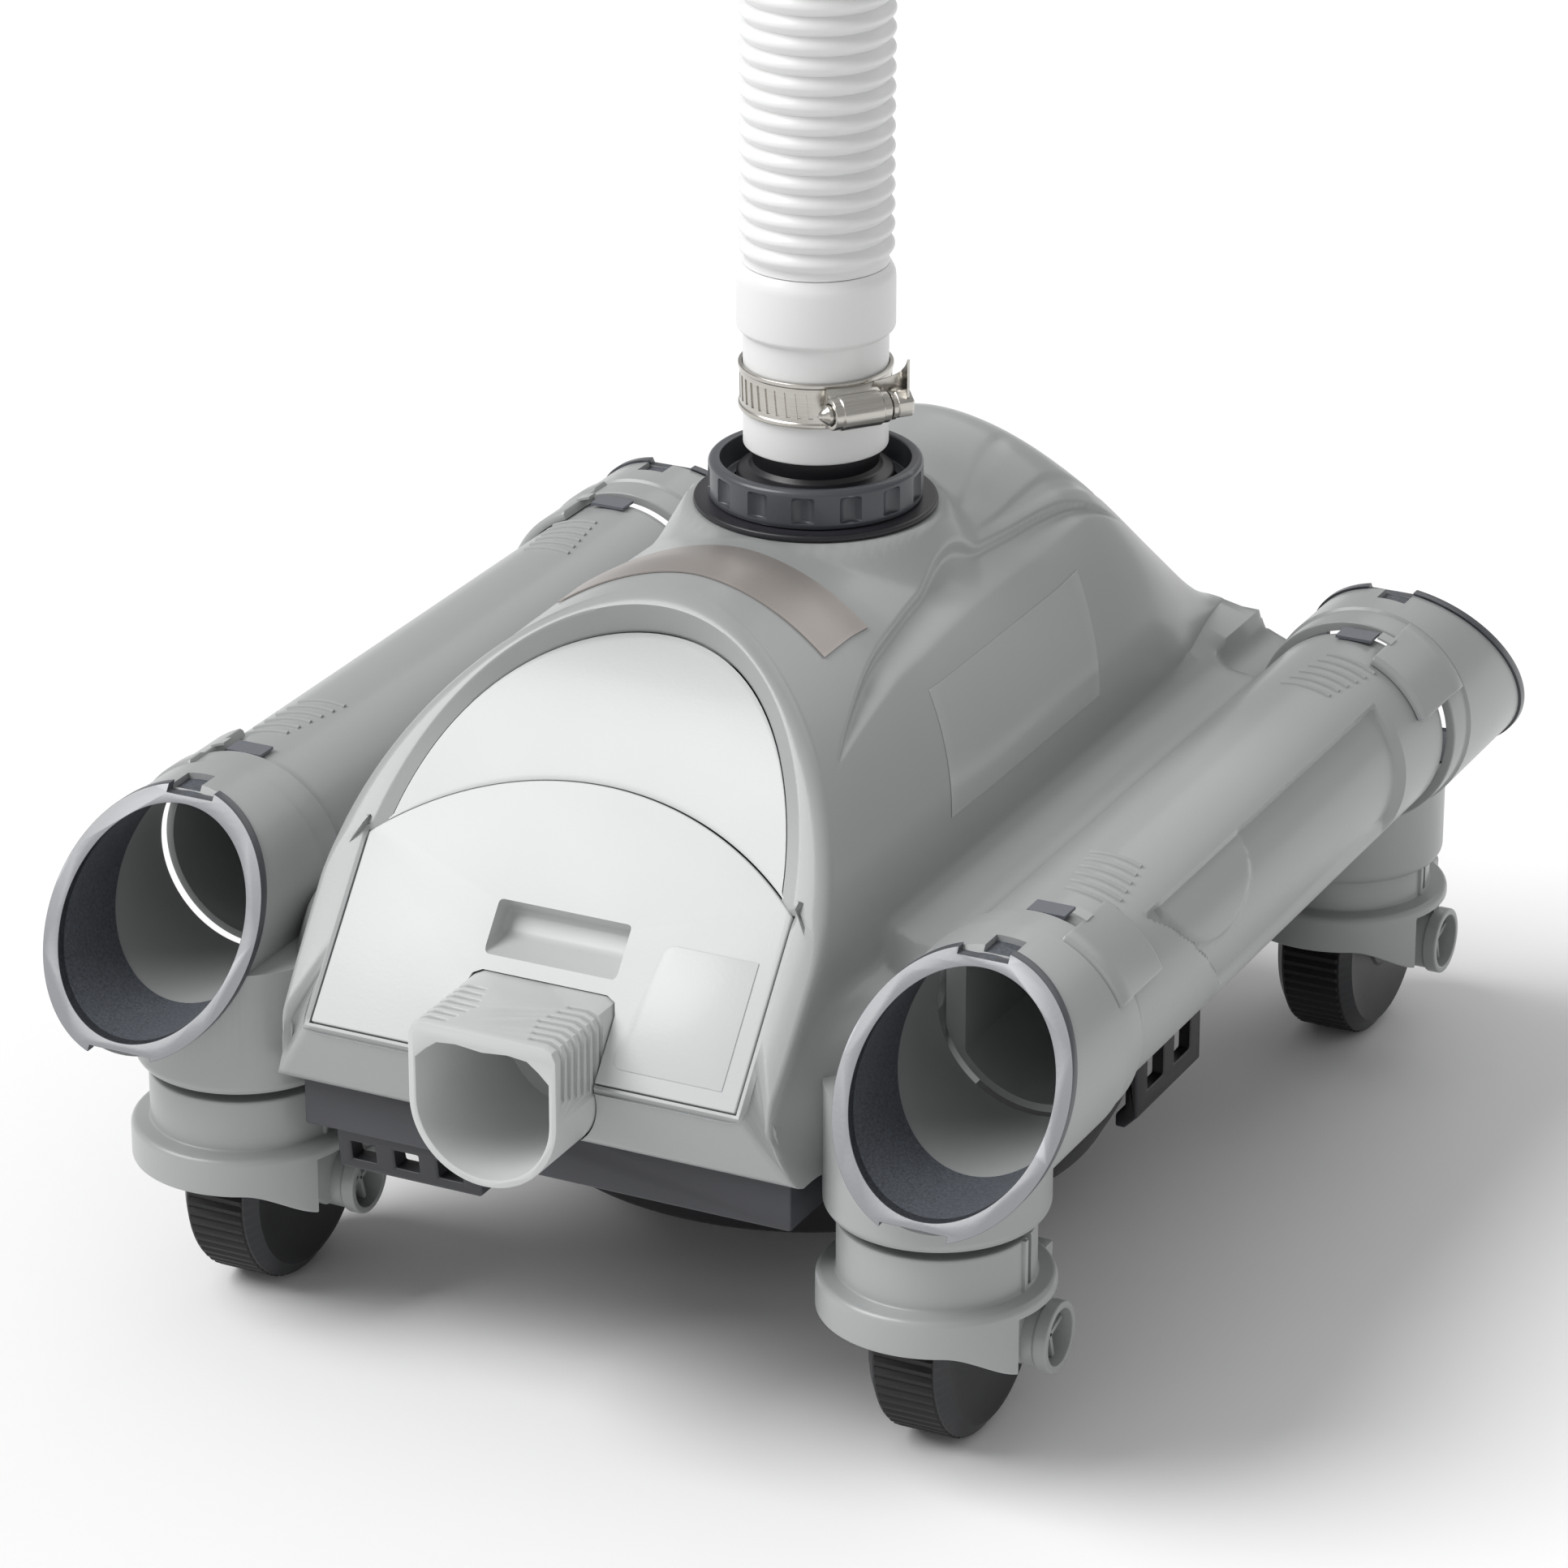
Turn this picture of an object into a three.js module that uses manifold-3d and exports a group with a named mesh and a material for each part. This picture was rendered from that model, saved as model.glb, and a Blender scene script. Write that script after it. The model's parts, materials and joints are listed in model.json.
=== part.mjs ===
// Pool cleaner: arched body on four trailing casters, two side tubes with mitred mouths,
// and a hose swivel on top. Millimetres, +Z up, front towards -Y, origin on the floor under
// the middle of the object (hose left out).
import * as THREE from 'three';
import { mergeVertices } from 'three/addons/utils/BufferGeometryUtils.js';
import Module from 'manifold-3d';

const wasm = await Module();
wasm.setup();

// ---- driving dimensions -------------------------------------------------------------------
const originShift = 2.15; // the hose axis lies this far behind the middle of the footprint
const gap = 0.3; // left between touching pieces
const wall = 3;
const runningGap = 0.12; // between a turning shaft and the flats of its bore
const fine = 24; // sides of a round piece: large, middling, small and tiny
const round = 20;
const small = 12;
const tiny = 8;

const casterX = 110.5; // swivel axes
const casterY = 148.6;
const trail = 19.6; // axle behind the swivel axis
const wheelRadius = 34;
const wheelWidth = 25;
const wheelOffset = -3.5; // wheel centre beside the swivel axis
const barrelRadius = 27.9;
const barrelTop = 74.6;
const barrelBase = 58.4;
const socketRadius = 31.7;
const socketBottomFront = 78.1;
const socketBottomRear = 69;
const socketTop = 118;
const stemRadius = 8;
const stemTop = 90;

const tubeX = 125.4; // side tube axes
const tubeZ = 124.8;
const tubeRadius = 30;
const tubeBore = 27.2;
const tubeEnd = 115.7;
const tubeFlat = 97.3; // x of the inboard outer flat
const tubeBoreFlat = 103.3;
const elbowStart = 118.4;
const elbowRadius = 33.2;
const elbowBore = 29.6;
const mouthY = 172.4; // middle of the mitred mouth
const mouthSlope = 0.679; // setback per unit of height
const linerRadius = 34;
const linerBore = 28.9;
const linerSleeve = 31.3;
const linerDepth = 31;
const linerFlange = 3.2;

const domeHalfWidth = 78;
const domeSpring = 143; // height where the arch starts to narrow
const domeTop = 222.5;
const domePower = 1.8;
const deckHalfWidth = 96.9;
const deckTop = 136;
const bodyBottom = 88;
const cornerHalfWidth = 78.3;
const shoulderHalfWidth = 91.4;
const shoulderBottom = 118.5;
const shoulderTop = 130;
const shoulderEnd = 163;

const faceY = -184.8; // lower edge of the sloping front face
const faceZ = 111.7;
const faceRun = 0.6213; // direction up the face: (run, rise) in (y, z)
const faceRise = 0.7835;
const lidHalfWidth = 66.4;
const lidHeight = 56.6; // along the face, at the sides
const lidCrown = 82.4; // along the face, in the middle
const pivotUp = 54.5;
const pivotDepth = 2.2;

const flangeRadius = 36;
const flangeTop = 218.1;
const seatTop = 216;
const nutRadius = 31.5;
const nutTop = 230;
const spigotRadius = 18.6;
const spigotTop = 262;
const cuffRadius = 21.25;
const cuffBottom = 234.4;
const cuffStep = 270;
const cuffTop = 290;
const hoseRadius = 22.8;
const hoseLength = 286;
const hoseLean = 3.2; // sideways drift of the hose's upper end

const rotorZ = 176;
const jetZ = 120;
const gearModule = 1.5;
const pinionTeeth = 10;
const idlerTeeth = 24;
const idlerPinionTeeth = 10;
const driveTeeth = 26;

// ---- materials ----------------------------------------------------------------------------
const finish = (color, roughness, metalness = 0) =>
  new THREE.MeshStandardMaterial({ color, roughness, metalness });
const shellGrey = finish(0xb4b8b9, 0.45);
const panelGrey = finish(0xcfd2d3, 0.45);
const slate = finish(0x45474d, 0.4);
const blackPlastic = finish(0x16171a, 0.5);
const basePlastic = finish(0x2b2c30, 0.55);
const tyreRubber = finish(0x101112, 0.7);
const steel = finish(0xb9b6b0, 0.28, 1);
const hoseWhite = finish(0xf2f2f0, 0.4);
const badgeSilver = finish(0xbdb2a8, 0.35, 0.6);
const gearWhite = finish(0xe6e4dc, 0.5);
const sealRubber = finish(0x202020, 0.8);
const ballastIron = finish(0x5a5a58, 0.6, 0.8);

// ---- solids -------------------------------------------------------------------------------
const part = new THREE.Group();

function solid(geometry) {
  const bare = geometry.clone();
  bare.deleteAttribute('normal');
  bare.deleteAttribute('uv');
  const merged = mergeVertices(bare, 1e-4);
  return new wasm.Manifold(
    new wasm.Mesh({
      numProp: 3,
      vertProperties: new Float32Array(merged.attributes.position.array),
      triVerts: new Uint32Array(merged.index.array),
    }),
  );
}

function geometryOf(body) {
  const mesh = body.getMesh();
  const geometry = new THREE.BufferGeometry();
  geometry.setAttribute('position', new THREE.BufferAttribute(mesh.vertProperties, 3));
  geometry.setIndex(new THREE.BufferAttribute(mesh.triVerts, 1));
  return geometry;
}

function add(name, body, material) {
  const geometry = body instanceof THREE.BufferGeometry ? body : geometryOf(body);
  const mesh = new THREE.Mesh(geometry, material);
  mesh.name = name;
  part.add(mesh);
  return mesh;
}

// circumradius of a bore whose flats clear a shaft of the given radius
const boreFor = (radius, sides) => (radius + runningGap) / Math.cos(Math.PI / sides);

const join = (first, ...rest) => rest.reduce((sum, body) => sum.add(body), first);
const cut = (first, ...rest) => rest.reduce((left, body) => left.subtract(body), first);

function box(x0, x1, y0, y1, z0, z1) {
  const geometry = new THREE.BoxGeometry(x1 - x0, y1 - y0, z1 - z0);
  geometry.translate((x0 + x1) / 2, (y0 + y1) / 2, (z0 + z1) / 2);
  return solid(geometry);
}

// a round bar between two heights on a vertical axis, tapered when top is given
function post(x, y, z0, z1, radius, sides = round, top = radius) {
  const geometry = new THREE.CylinderGeometry(top, radius, z1 - z0, sides);
  geometry.rotateX(Math.PI / 2).translate(x, y, (z0 + z1) / 2);
  return solid(geometry);
}

function barAlongY(x, z, y0, y1, radius, sides = round) {
  const geometry = new THREE.CylinderGeometry(radius, radius, y1 - y0, sides);
  geometry.translate(x, (y0 + y1) / 2, z);
  return solid(geometry);
}

function barAlongX(y, z, x0, x1, radius, sides = round) {
  const geometry = new THREE.CylinderGeometry(radius, radius, x1 - x0, sides);
  geometry.rotateZ(Math.PI / 2).translate((x0 + x1) / 2, y, z);
  return solid(geometry);
}

// profile points are (radius, height) round a vertical axis
function turned(points, sides = round) {
  const outline = points.map(([r, z]) => new THREE.Vector2(r, z));
  if (THREE.ShapeUtils.area(outline) < 0) outline.reverse();
  return solid(new THREE.LatheGeometry(outline, sides).rotateX(Math.PI / 2));
}

function outlineShape(points) {
  return new THREE.Shape(points.map(([a, b]) => new THREE.Vector2(a, b)));
}

// shape in (x, z), extruded between two y values
function alongY(points, y0, y1) {
  const geometry = new THREE.ExtrudeGeometry(outlineShape(points), {
    depth: y1 - y0,
    bevelEnabled: false,
  });
  return solid(geometry.rotateX(Math.PI / 2).translate(0, y1, 0));
}

// shape in (y, z), extruded between two x values
function alongX(points, x0, x1) {
  const geometry = new THREE.ExtrudeGeometry(outlineShape(points), {
    depth: x1 - x0,
    bevelEnabled: false,
  });
  return solid(geometry.rotateX(Math.PI / 2).rotateZ(Math.PI / 2).translate(x0, 0, 0));
}

// shape in (x, y), extruded between two heights
function alongZ(points, z0, z1) {
  const geometry = new THREE.ExtrudeGeometry(outlineShape(points), {
    depth: z1 - z0,
    bevelEnabled: false,
  });
  return solid(geometry.translate(0, 0, z0));
}

// the sloping front face: x across, s up the face, w out of it
const faceFrame = new THREE.Matrix4()
  .makeBasis(
    new THREE.Vector3(1, 0, 0),
    new THREE.Vector3(0, faceRun, faceRise),
    new THREE.Vector3(0, -faceRise, faceRun),
  )
  .setPosition(0, faceY, faceZ);

function onFace(points, w0, w1, tilt = 0) {
  const geometry = new THREE.ExtrudeGeometry(outlineShape(points), {
    depth: w1 - w0,
    bevelEnabled: false,
  });
  geometry.translate(0, 0, w0);
  if (tilt) {
    geometry.translate(0, -lidHeight, 0).rotateX(tilt).translate(0, lidHeight, 0);
  }
  return solid(geometry.applyMatrix4(faceFrame));
}

const facePoint = (s, w) => [faceY + faceRun * s - faceRise * w, faceZ + faceRise * s + faceRun * w];

function arc(cx, cy, radius, from, to, steps) {
  const points = [];
  for (let i = 0; i <= steps; i++) {
    const angle = from + ((to - from) * i) / steps;
    points.push([cx + radius * Math.cos(angle), cy + radius * Math.sin(angle)]);
  }
  return points;
}

// ---- body ---------------------------------------------------------------------------------
// cross-section of the dome, shrunk by inset all round
function domeSection(inset) {
  const halfWidth = domeHalfWidth - inset;
  const rise = domeTop - inset - domeSpring;
  const points = [[-halfWidth, bodyBottom - inset]];
  const steps = 26;
  for (let i = 0; i <= steps; i++) {
    const angle = Math.PI - (Math.PI * i) / steps;
    const across = Math.sign(Math.cos(angle)) * Math.abs(Math.cos(angle)) ** (2 / domePower);
    const up = Math.abs(Math.sin(angle)) ** (2 / domePower);
    points.push([halfWidth * across, domeSpring + rise * up]);
  }
  points.push([halfWidth, bodyBottom - inset]);
  return points;
}

// side view of the dome in (y, z)
const sideProfile = [
  [-178.5, bodyBottom],
  [-186, 106],
  [faceY, faceZ],
  [-116.5, 197.8],
  [-100, 213],
  [-88, 219.3],
  [-66, 220.5],
  [-44, 217],
  [44, 217],
  [60, 220.5],
  [72, 222.4],
  [85.6, 218],
  [101, 207],
  [113.5, 194.5],
  [126.4, 180.6],
  [137.4, 165],
  [152, 144],
  [166, 118],
  [176, bodyBottom],
];

// the same view moved inwards by the wall thickness
const sideProfileInside = [
  [-175.4, bodyBottom - 1],
  [-182.6, 106.5],
  [-181.2, 110.6],
  [-114.4, 195.4],
  [-98.5, 210],
  [-87, 216.1],
  [-66, 217.4],
  [-44, 213.6],
  [44, 213.6],
  [60, 217.2],
  [71.5, 219],
  [83.6, 215.3],
  [98.9, 204.7],
  [110.9, 192.6],
  [123.6, 178.8],
  [134.6, 163.2],
  [149.2, 142.4],
  [163, 117],
  [172.8, bodyBottom - 1],
];

function bodyBlock(inset, profile) {
  const dome = alongY(domeSection(inset), -200, 200).intersect(alongX(profile, -120, 120));
  const bottom = bodyBottom - (inset ? 1 : 0);
  const deck = box(
    inset - deckHalfWidth, deckHalfWidth - inset,
    inset - tubeEnd - 1.6, tubeEnd + 1.6 - inset,
    bottom, deckTop - inset,
  );
  const shoulder = box(
    inset - shoulderHalfWidth, shoulderHalfWidth - inset,
    inset - shoulderEnd, shoulderEnd - inset,
    shoulderBottom + inset, shoulderTop - inset,
  );
  const corner = box(
    inset - cornerHalfWidth, cornerHalfWidth - inset,
    inset - shoulderEnd, shoulderEnd - inset,
    bottom, shoulderTop - inset,
  );
  return join(dome, deck, shoulder, corner);
}

// outline of the filter lid on the face, grown by grow
function lidOutline(grow) {
  const rise = lidCrown - lidHeight;
  const radius = (lidHalfWidth ** 2 + rise ** 2) / (2 * rise);
  const half = Math.asin(lidHalfWidth / radius);
  const centre = lidCrown - radius;
  const crown = arc(0, centre, radius + grow, Math.PI / 2 - half, Math.PI / 2 + half, small);
  return [[-lidHalfWidth - grow, -grow], [lidHalfWidth + grow, -grow], ...crown];
}

// outline of the upper panel: an arch above the lid's crown
function panelOutline(grow) {
  const halfWidth = 61.5 + grow;
  const foot = lidHeight + 1.6;
  const rise = 131.2 + grow - foot;
  const steps = 24;
  const points = [];
  for (let i = 0; i <= steps; i++) {
    const angle = (Math.PI * i) / steps;
    const across = Math.sign(Math.cos(angle)) * Math.abs(Math.cos(angle)) ** (2 / 2.1);
    points.push([halfWidth * across, foot + rise * Math.abs(Math.sin(angle)) ** (2 / 2.1)]);
  }
  return points;
}

const nozzleHalfWidth = 23;
const nozzleTop = 130.5;
const nozzleBottom = 84.3;

// D outline of the nozzle in (x, z): flat top, round bottom
function nozzleOutline(inset) {
  const radius = nozzleHalfWidth - inset;
  const springZ = nozzleBottom + nozzleHalfWidth;
  return [
    ...arc(0, springZ, radius, Math.PI, 2 * Math.PI, 18),
    [radius, nozzleTop - 4 - inset],
    [radius - 4, nozzleTop - inset],
    [4 - radius, nozzleTop - inset],
    [-radius, nozzleTop - 4 - inset],
  ];
}

const pivotFar = 70.4;
const [pivotY, pivotZ] = facePoint(pivotUp, -pivotDepth);

function upperShell() {
  const lidHole = onFace(lidOutline(0.8), -9, 9);
  const panelHole = onFace(panelOutline(0.4), -16, 9);
  const nozzleHole = alongY(nozzleOutline(-0.4), -230, -150);
  const hingeBlocks = [];
  const hingeHoles = [];
  for (const side of [-1, 1]) {
    const near = side * 67.2;
    const far = side * 76;
    const block = onFace(
      [[Math.min(near, far), 48], [Math.max(near, far), 48], [Math.max(near, far), 61],
        [Math.min(near, far), 61]],
      -6.5, -2.5,
    );
    hingeBlocks.push(block);
    const from = Math.min(side * 60, side * (pivotFar + 0.5));
    const to = Math.max(side * 60, side * (pivotFar + 0.5));
    hingeHoles.push(barAlongX(pivotY, pivotZ, from, to, boreFor(1.3, tiny), tiny));
  }
  const seat = post(0, 0, 205, seatTop, 39.5, fine);
  const pocket = post(0, 0, seatTop, 240, 41.5, fine);
  const shell = cut(bodyBlock(0, sideProfile), bodyBlock(wall, sideProfileInside));
  return cut(
    join(shell, seat, ...hingeBlocks),
    pocket, lidHole, panelHole, nozzleHole, ...hingeHoles,
    post(0, 0, 180, 240, 24, fine),
    barAlongX(0, jetZ, -110, 110, 6.1, small),
  );
}
add('upper_shell', upperShell(), shellGrey);

const panelTilt = THREE.MathUtils.degToRad(-6);
add(
  'front_panel',
  cut(onFace(panelOutline(0), -2.6, 0, panelTilt), onFace(lidOutline(1.2), -9, 9)),
  panelGrey,
);

function filterLid() {
  const plate = onFace(lidOutline(-0.1), -3.2, 0);
  const pocketBack = onFace([[-24, 25.4], [24, 25.4], [24, 48.5], [-24, 48.5]], -11, -0.5);
  const pocket = onFace([[-21, 28.4], [21, 28.4], [21, 45.5], [-21, 45.5]], -8.5, 1);
  const notch = alongY(nozzleOutline(-1.4), -230, -120);
  const pins = [-1, 1].map((side) => {
    const from = Math.min(side * 60, side * pivotFar);
    return barAlongX(pivotY, pivotZ, from, from + pivotFar - 60, 1.1, tiny);
  });
  return cut(join(plate, pocketBack, ...pins), pocket, notch);
}
add('filter_lid', filterLid(), panelGrey);

function frontNozzle() {
  const outer = alongY(nozzleOutline(0), -206.5, -150.5);
  const bore = alongY(nozzleOutline(2.4), -208, -154);
  const inlet = barAlongY(0, 107, -156, -148, 9, small);
  return cut(outer, bore, inlet);
}
add('front_nozzle', frontNozzle(), panelGrey);

// curved badge just above the dome surface, between the rim and the flange
function badge() {
  const outer = alongY(domeSection(-0.7), -78, -52).intersect(box(-40, 40, -78, -52, 195, 260));
  const inner = alongY(domeSection(-0.3), -79, -51);
  return cut(outer, inner);
}
add('badge', badge(), badgeSilver);

// ---- side tubes, elbows and liners --------------------------------------------------------
function sideTube(side) {
  const outerFlat = box(tubeX - 40, tubeFlat, -200, 200, 80, 170);
  const boreFlat = box(tubeX - 40, tubeBoreFlat, -200, 200, 80, 170);
  const bore = cut(barAlongY(tubeX, tubeZ, -130, 130, tubeBore, fine), boreFlat);
  const jetHole = barAlongX(0, jetZ, tubeX - 40, tubeX - 15, 6.1, small);
  const tube = cut(
    barAlongY(tubeX, tubeZ, -tubeEnd, tubeEnd, tubeRadius, fine), outerFlat, bore, jetHole,
  );
  return side > 0 ? tube : mirrored(tube, 'x');
}

function mirrored(body, axis) {
  const geometry = geometryOf(body);
  const scale = { x: [-1, 1, 1], y: [1, -1, 1] }[axis];
  geometry.scale(...scale);
  const index = geometry.index.array;
  for (let i = 0; i < index.length; i += 3) {
    [index[i], index[i + 1]] = [index[i + 1], index[i]];
  }
  return solid(geometry);
}

// everything in front of the mitred mouth plane, moved back by back
function beyondMouth(back) {
  const y = (z) => -mouthY + mouthSlope * (z - tubeZ) + back;
  return alongX([[-260, 60], [y(60), 60], [y(190), 190], [-260, 190]], tubeX - 60, tubeX + 60);
}

// front right elbow; the others are its mirror images
function elbow() {
  const barrel = barAlongY(tubeX, tubeZ, -230, -elbowStart, elbowRadius, fine);
  const bore = barAlongY(tubeX, tubeZ, -231, -elbowStart + 1, elbowBore, fine);
  const counterbore = barAlongY(tubeX, tubeZ, -231, -100, linerSleeve + gap, fine);
  const window = box(tubeX - 7, tubeX + 7, -150, -141, tubeZ, tubeZ + 40);
  return cut(
    barrel, bore, counterbore.intersect(beyondMouth(linerDepth)),
    beyondMouth(linerFlange + gap), window,
  );
}

function mouthLiner() {
  const sleeve = barAlongY(tubeX, tubeZ, -231, -100, linerSleeve, fine);
  const flange = barAlongY(tubeX, tubeZ, -231, -100, linerRadius, fine);
  const bore = barAlongY(tubeX, tubeZ, -232, -99, linerBore, fine);
  return cut(
    join(
      sleeve.intersect(beyondMouth(linerDepth - gap)),
      flange.intersect(beyondMouth(linerFlange)),
    ),
    bore, beyondMouth(0),
  );
}

// caster socket under a corner: a collar shaped to the elbow above it
function socket(bottom) {
  const collar = post(casterX, -casterY, bottom, socketTop, socketRadius);
  const overBarrel = post(casterX, -casterY, bottom - 1, barrelTop + 1.2, barrelRadius + 0.7);
  const bore = post(casterX, -casterY, 60, stemTop + 2, boreFor(stemRadius, round), round);
  const elbowRoom = barAlongY(tubeX, tubeZ, -240, -100, linerRadius + 0.5, fine);
  const bodyRoom = box(0, cornerHalfWidth + gap, -200, -100, 60, 140);
  return cut(collar, overBarrel, bore, elbowRoom, bodyRoom);
}

const elbowBody = elbow();
const linerBody = mouthLiner();
const corners = [
  ['front_right', 1, -1],
  ['front_left', -1, -1],
  ['rear_right', 1, 1],
  ['rear_left', -1, 1],
];

function toCorner(body, side, end) {
  let moved = body;
  if (side < 0) moved = mirrored(moved, 'x');
  if (end > 0) moved = mirrored(moved, 'y');
  return moved;
}

for (const [place, side, end] of corners) {
  add(`elbow_${place}`, toCorner(elbowBody, side, end), shellGrey);
  add(`mouth_liner_${place}`, toCorner(linerBody, side, end), slate);
  const bottom = end < 0 ? socketBottomFront : socketBottomRear;
  add(`caster_socket_${place}`, toCorner(socket(bottom), side, end), shellGrey);
}
add('side_tube_right', sideTube(1), shellGrey);
add('side_tube_left', sideTube(-1), shellGrey);

// ---- casters ------------------------------------------------------------------------------
const bossRadius = 10.4;
const pinRadius = 3;

// yoke about its swivel axis at x = y = 0, with the arm and boss on the right
function casterYoke() {
  const barrel = post(0, 0, barrelBase, barrelTop, barrelRadius);
  const ring = post(0, 0, 47, barrelBase, 33.4);
  const skirt = alongZ(
    [[-25, 0], [-25, 30], [22, 30], [22, -12], [0, -26], [-20, -20]], 44, 50,
  );
  const stem = post(0, 0, barrelTop - 1, stemTop, stemRadius, round);
  const arm = alongX(
    [[trail - 9, 26], [trail + 9, 26], [trail + 12, 58], [trail - 28, 58], [trail - 14, 40]],
    13.6, 18.6,
  );
  const innerArm = alongX(
    [[trail - 9, 26], [trail + 9, 26], [trail + 12, 52], [trail - 22, 52]],
    -24, -19.2,
  );
  const boss = barAlongX(trail, wheelRadius, 13.6, 29.2, bossRadius, round);
  const innerBoss = barAlongX(trail, wheelRadius, -24, -18.6, 8.5, small);
  const roof = post(0, 0, barrelTop - 3, barrelTop, barrelRadius);
  const cup = post(0, 0, 40, barrelTop - 3, barrelRadius - 3);
  const wheelRoom = barAlongX(
    trail, wheelRadius, wheelOffset - 14.2, wheelOffset + 14.2, wheelRadius + 2.4, small,
  );
  const pinHole = barAlongX(trail, wheelRadius, -22, 40, pinRadius + 0.06, small);
  const openBoss = barAlongX(trail, wheelRadius, 22, 40, bossRadius - 2, round);
  const shellBody = cut(join(barrel, ring, skirt), cup);
  return cut(
    join(shellBody, roof, stem, arm, innerArm, boss, innerBoss),
    wheelRoom, pinHole, openBoss,
  );
}

// wheel about its axle at y = z = 0
function casterWheel() {
  const half = wheelWidth / 2;
  const bore = boreFor(pinRadius, fine);
  const wheel = turned([
    [bore, -half], [wheelRadius - 4, -half], [wheelRadius, 2.5 - half],
    [wheelRadius, half - 2.5], [wheelRadius - 4, half], [bore, half], [bore, -half],
  ], fine);
  return solid(geometryOf(wheel).rotateY(Math.PI / 2).translate(wheelOffset, 0, 0));
}

function axlePin() {
  const shaft = barAlongX(trail, wheelRadius, -21.8, 25.5, pinRadius, small);
  const head = join(
    barAlongX(trail, wheelRadius, 22.3, 25.5, 5.2, small),
    box(22.3, 25.5, trail - 7.6, trail + 7.6, wheelRadius - 1, wheelRadius + 1),
  );
  return join(shaft, head);
}

const yokeBody = casterYoke();
const wheelBody = casterWheel();
const pinBody = axlePin();
for (const [place, side, end] of corners) {
  const yoke = add(`caster_yoke_${place}`, yokeBody, shellGrey);
  yoke.position.set(side * casterX, end * casterY, 0);
  const wheel = add(`caster_wheel_${place}`, wheelBody, tyreRubber);
  wheel.position.set(side * casterX, end * casterY + trail, wheelRadius);
  const pin = add(`axle_pin_${place}`, pinBody, shellGrey);
  pin.position.set(side * casterX, end * casterY, 0);
}

// ---- base ---------------------------------------------------------------------------------
const baseTop = 87.7;

function basePan() {
  const outline = [[-77, -172], [77, -172], [77, 170], [-77, 170]];
  const tray = alongZ(outline, 72, baseTop);
  const room = box(-74, 74, -169, 167, 75, 90);
  const nozzleRoom = alongY(nozzleOutline(-0.8), -230, -150);
  const intake = post(0, 0, 60, 90, 38);
  return cut(tray, room, nozzleRoom, intake);
}
add('base_pan', basePan(), basePlastic);

// round skirt that brings the intake down near the floor
add(
  'suction_skirt',
  turned([
    [38.5, 71.7], [97, 71.7], [97, 34], [88, 20], [82, 20], [92, 36], [92, 67], [42.5, 67],
    [42.5, 58], [38.5, 58], [38.5, 71.7],
  ], fine),
  blackPlastic,
);

function clipBracket(side) {
  const plate = alongY(
    [[97.6, 71], [103, 71], [108, 66], [108, 40], [104, 36], [101, 36], [101, 40], [104, 43],
      [104, 62], [97.6, 62]], -4, 44,
  );
  const slots = [4, 24].map((y) => box(100, 112, y, y + 12, 46, 58));
  const bracket = cut(plate, ...slots);
  return side > 0 ? bracket : mirrored(bracket, 'x');
}
add('clip_bracket_right', clipBracket(1), basePlastic);
add('clip_bracket_left', clipBracket(-1), basePlastic);

function frontBracket() {
  const plate = alongX([[-170, 71.7], [-164, 71.7], [-160, 59], [-168, 59]], -68, -22);
  const slots = [0, 1, 2].map((i) => box(-64 + i * 14, -56 + i * 14, -180, -150, 62, 68));
  return cut(plate, ...slots);
}
add('front_bracket', frontBracket(), basePlastic);

// ---- hose swivel --------------------------------------------------------------------------
add(
  'hose_flange',
  turned([
    [30, seatTop + gap], [flangeRadius - 0.8, seatTop + gap], [flangeRadius, seatTop + 1],
    [flangeRadius - 0.6, flangeTop], [30, flangeTop], [30, seatTop + gap],
  ], fine),
  blackPlastic,
);

function collarNut() {
  const grooves = 14;
  const body = turned([
    [24.4, flangeTop + gap], [nutRadius - 0.6, flangeTop + gap], [nutRadius, flangeTop + 1.2],
    [nutRadius, nutTop - 1], [nutRadius - 1, nutTop], [28, nutTop], [28, 222.4], [24.4, 222.4],
    [24.4, flangeTop + gap],
  ], fine);
  const cutters = [];
  for (let i = 0; i < grooves; i++) {
    const angle = (2 * Math.PI * i) / grooves;
    cutters.push(post(
      (nutRadius + 2.6) * Math.cos(angle), (nutRadius + 2.6) * Math.sin(angle),
      flangeTop + 2.4, nutTop - 2, 4, 12,
    ));
  }
  return cut(body, ...cutters);
}
add('collar_nut', collarNut(), slate);

add(
  'swivel_spigot',
  turned([
    [15.5, 196], [20, 196], [20, 211.6], [23.2, 211.6], [23.2, 227], [spigotRadius, 229],
    [spigotRadius, spigotTop], [15.5, spigotTop], [15.5, 196],
  ], fine),
  blackPlastic,
);
add(
  'spigot_seal',
  turned([[20.3, 200], [23, 200], [23, 203], [20.3, 203], [20.3, 200]], fine),
  sealRubber,
);

// ---- hose and clamp -----------------------------------------------------------------------
add(
  'hose_lower_cuff',
  turned([
    [spigotRadius + gap, cuffBottom], [cuffRadius, cuffBottom], [cuffRadius, cuffStep - 1],
    [23.2, cuffStep], [23.2, cuffTop - 3], [21.6, cuffTop], [spigotRadius + gap, cuffTop],
    [spigotRadius + gap, cuffBottom],
  ]),
  hoseWhite,
);

const hoseTop = cuffTop + gap + hoseLength;
// sideways drift of the hose at equal steps up from the cuff
const hoseLeans = [0, 0, 0, 0.1, 0.2, 0.4, 0.6, 0.9, 1.2, 1.5, 1.9, 2.3, 2.6, 2.9, hoseLean];
const hoseRoute = hoseLeans.map((lean, i) => [
  lean, 0, cuffTop + gap + (hoseLength * i) / (hoseLeans.length - 1),
]);

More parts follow.
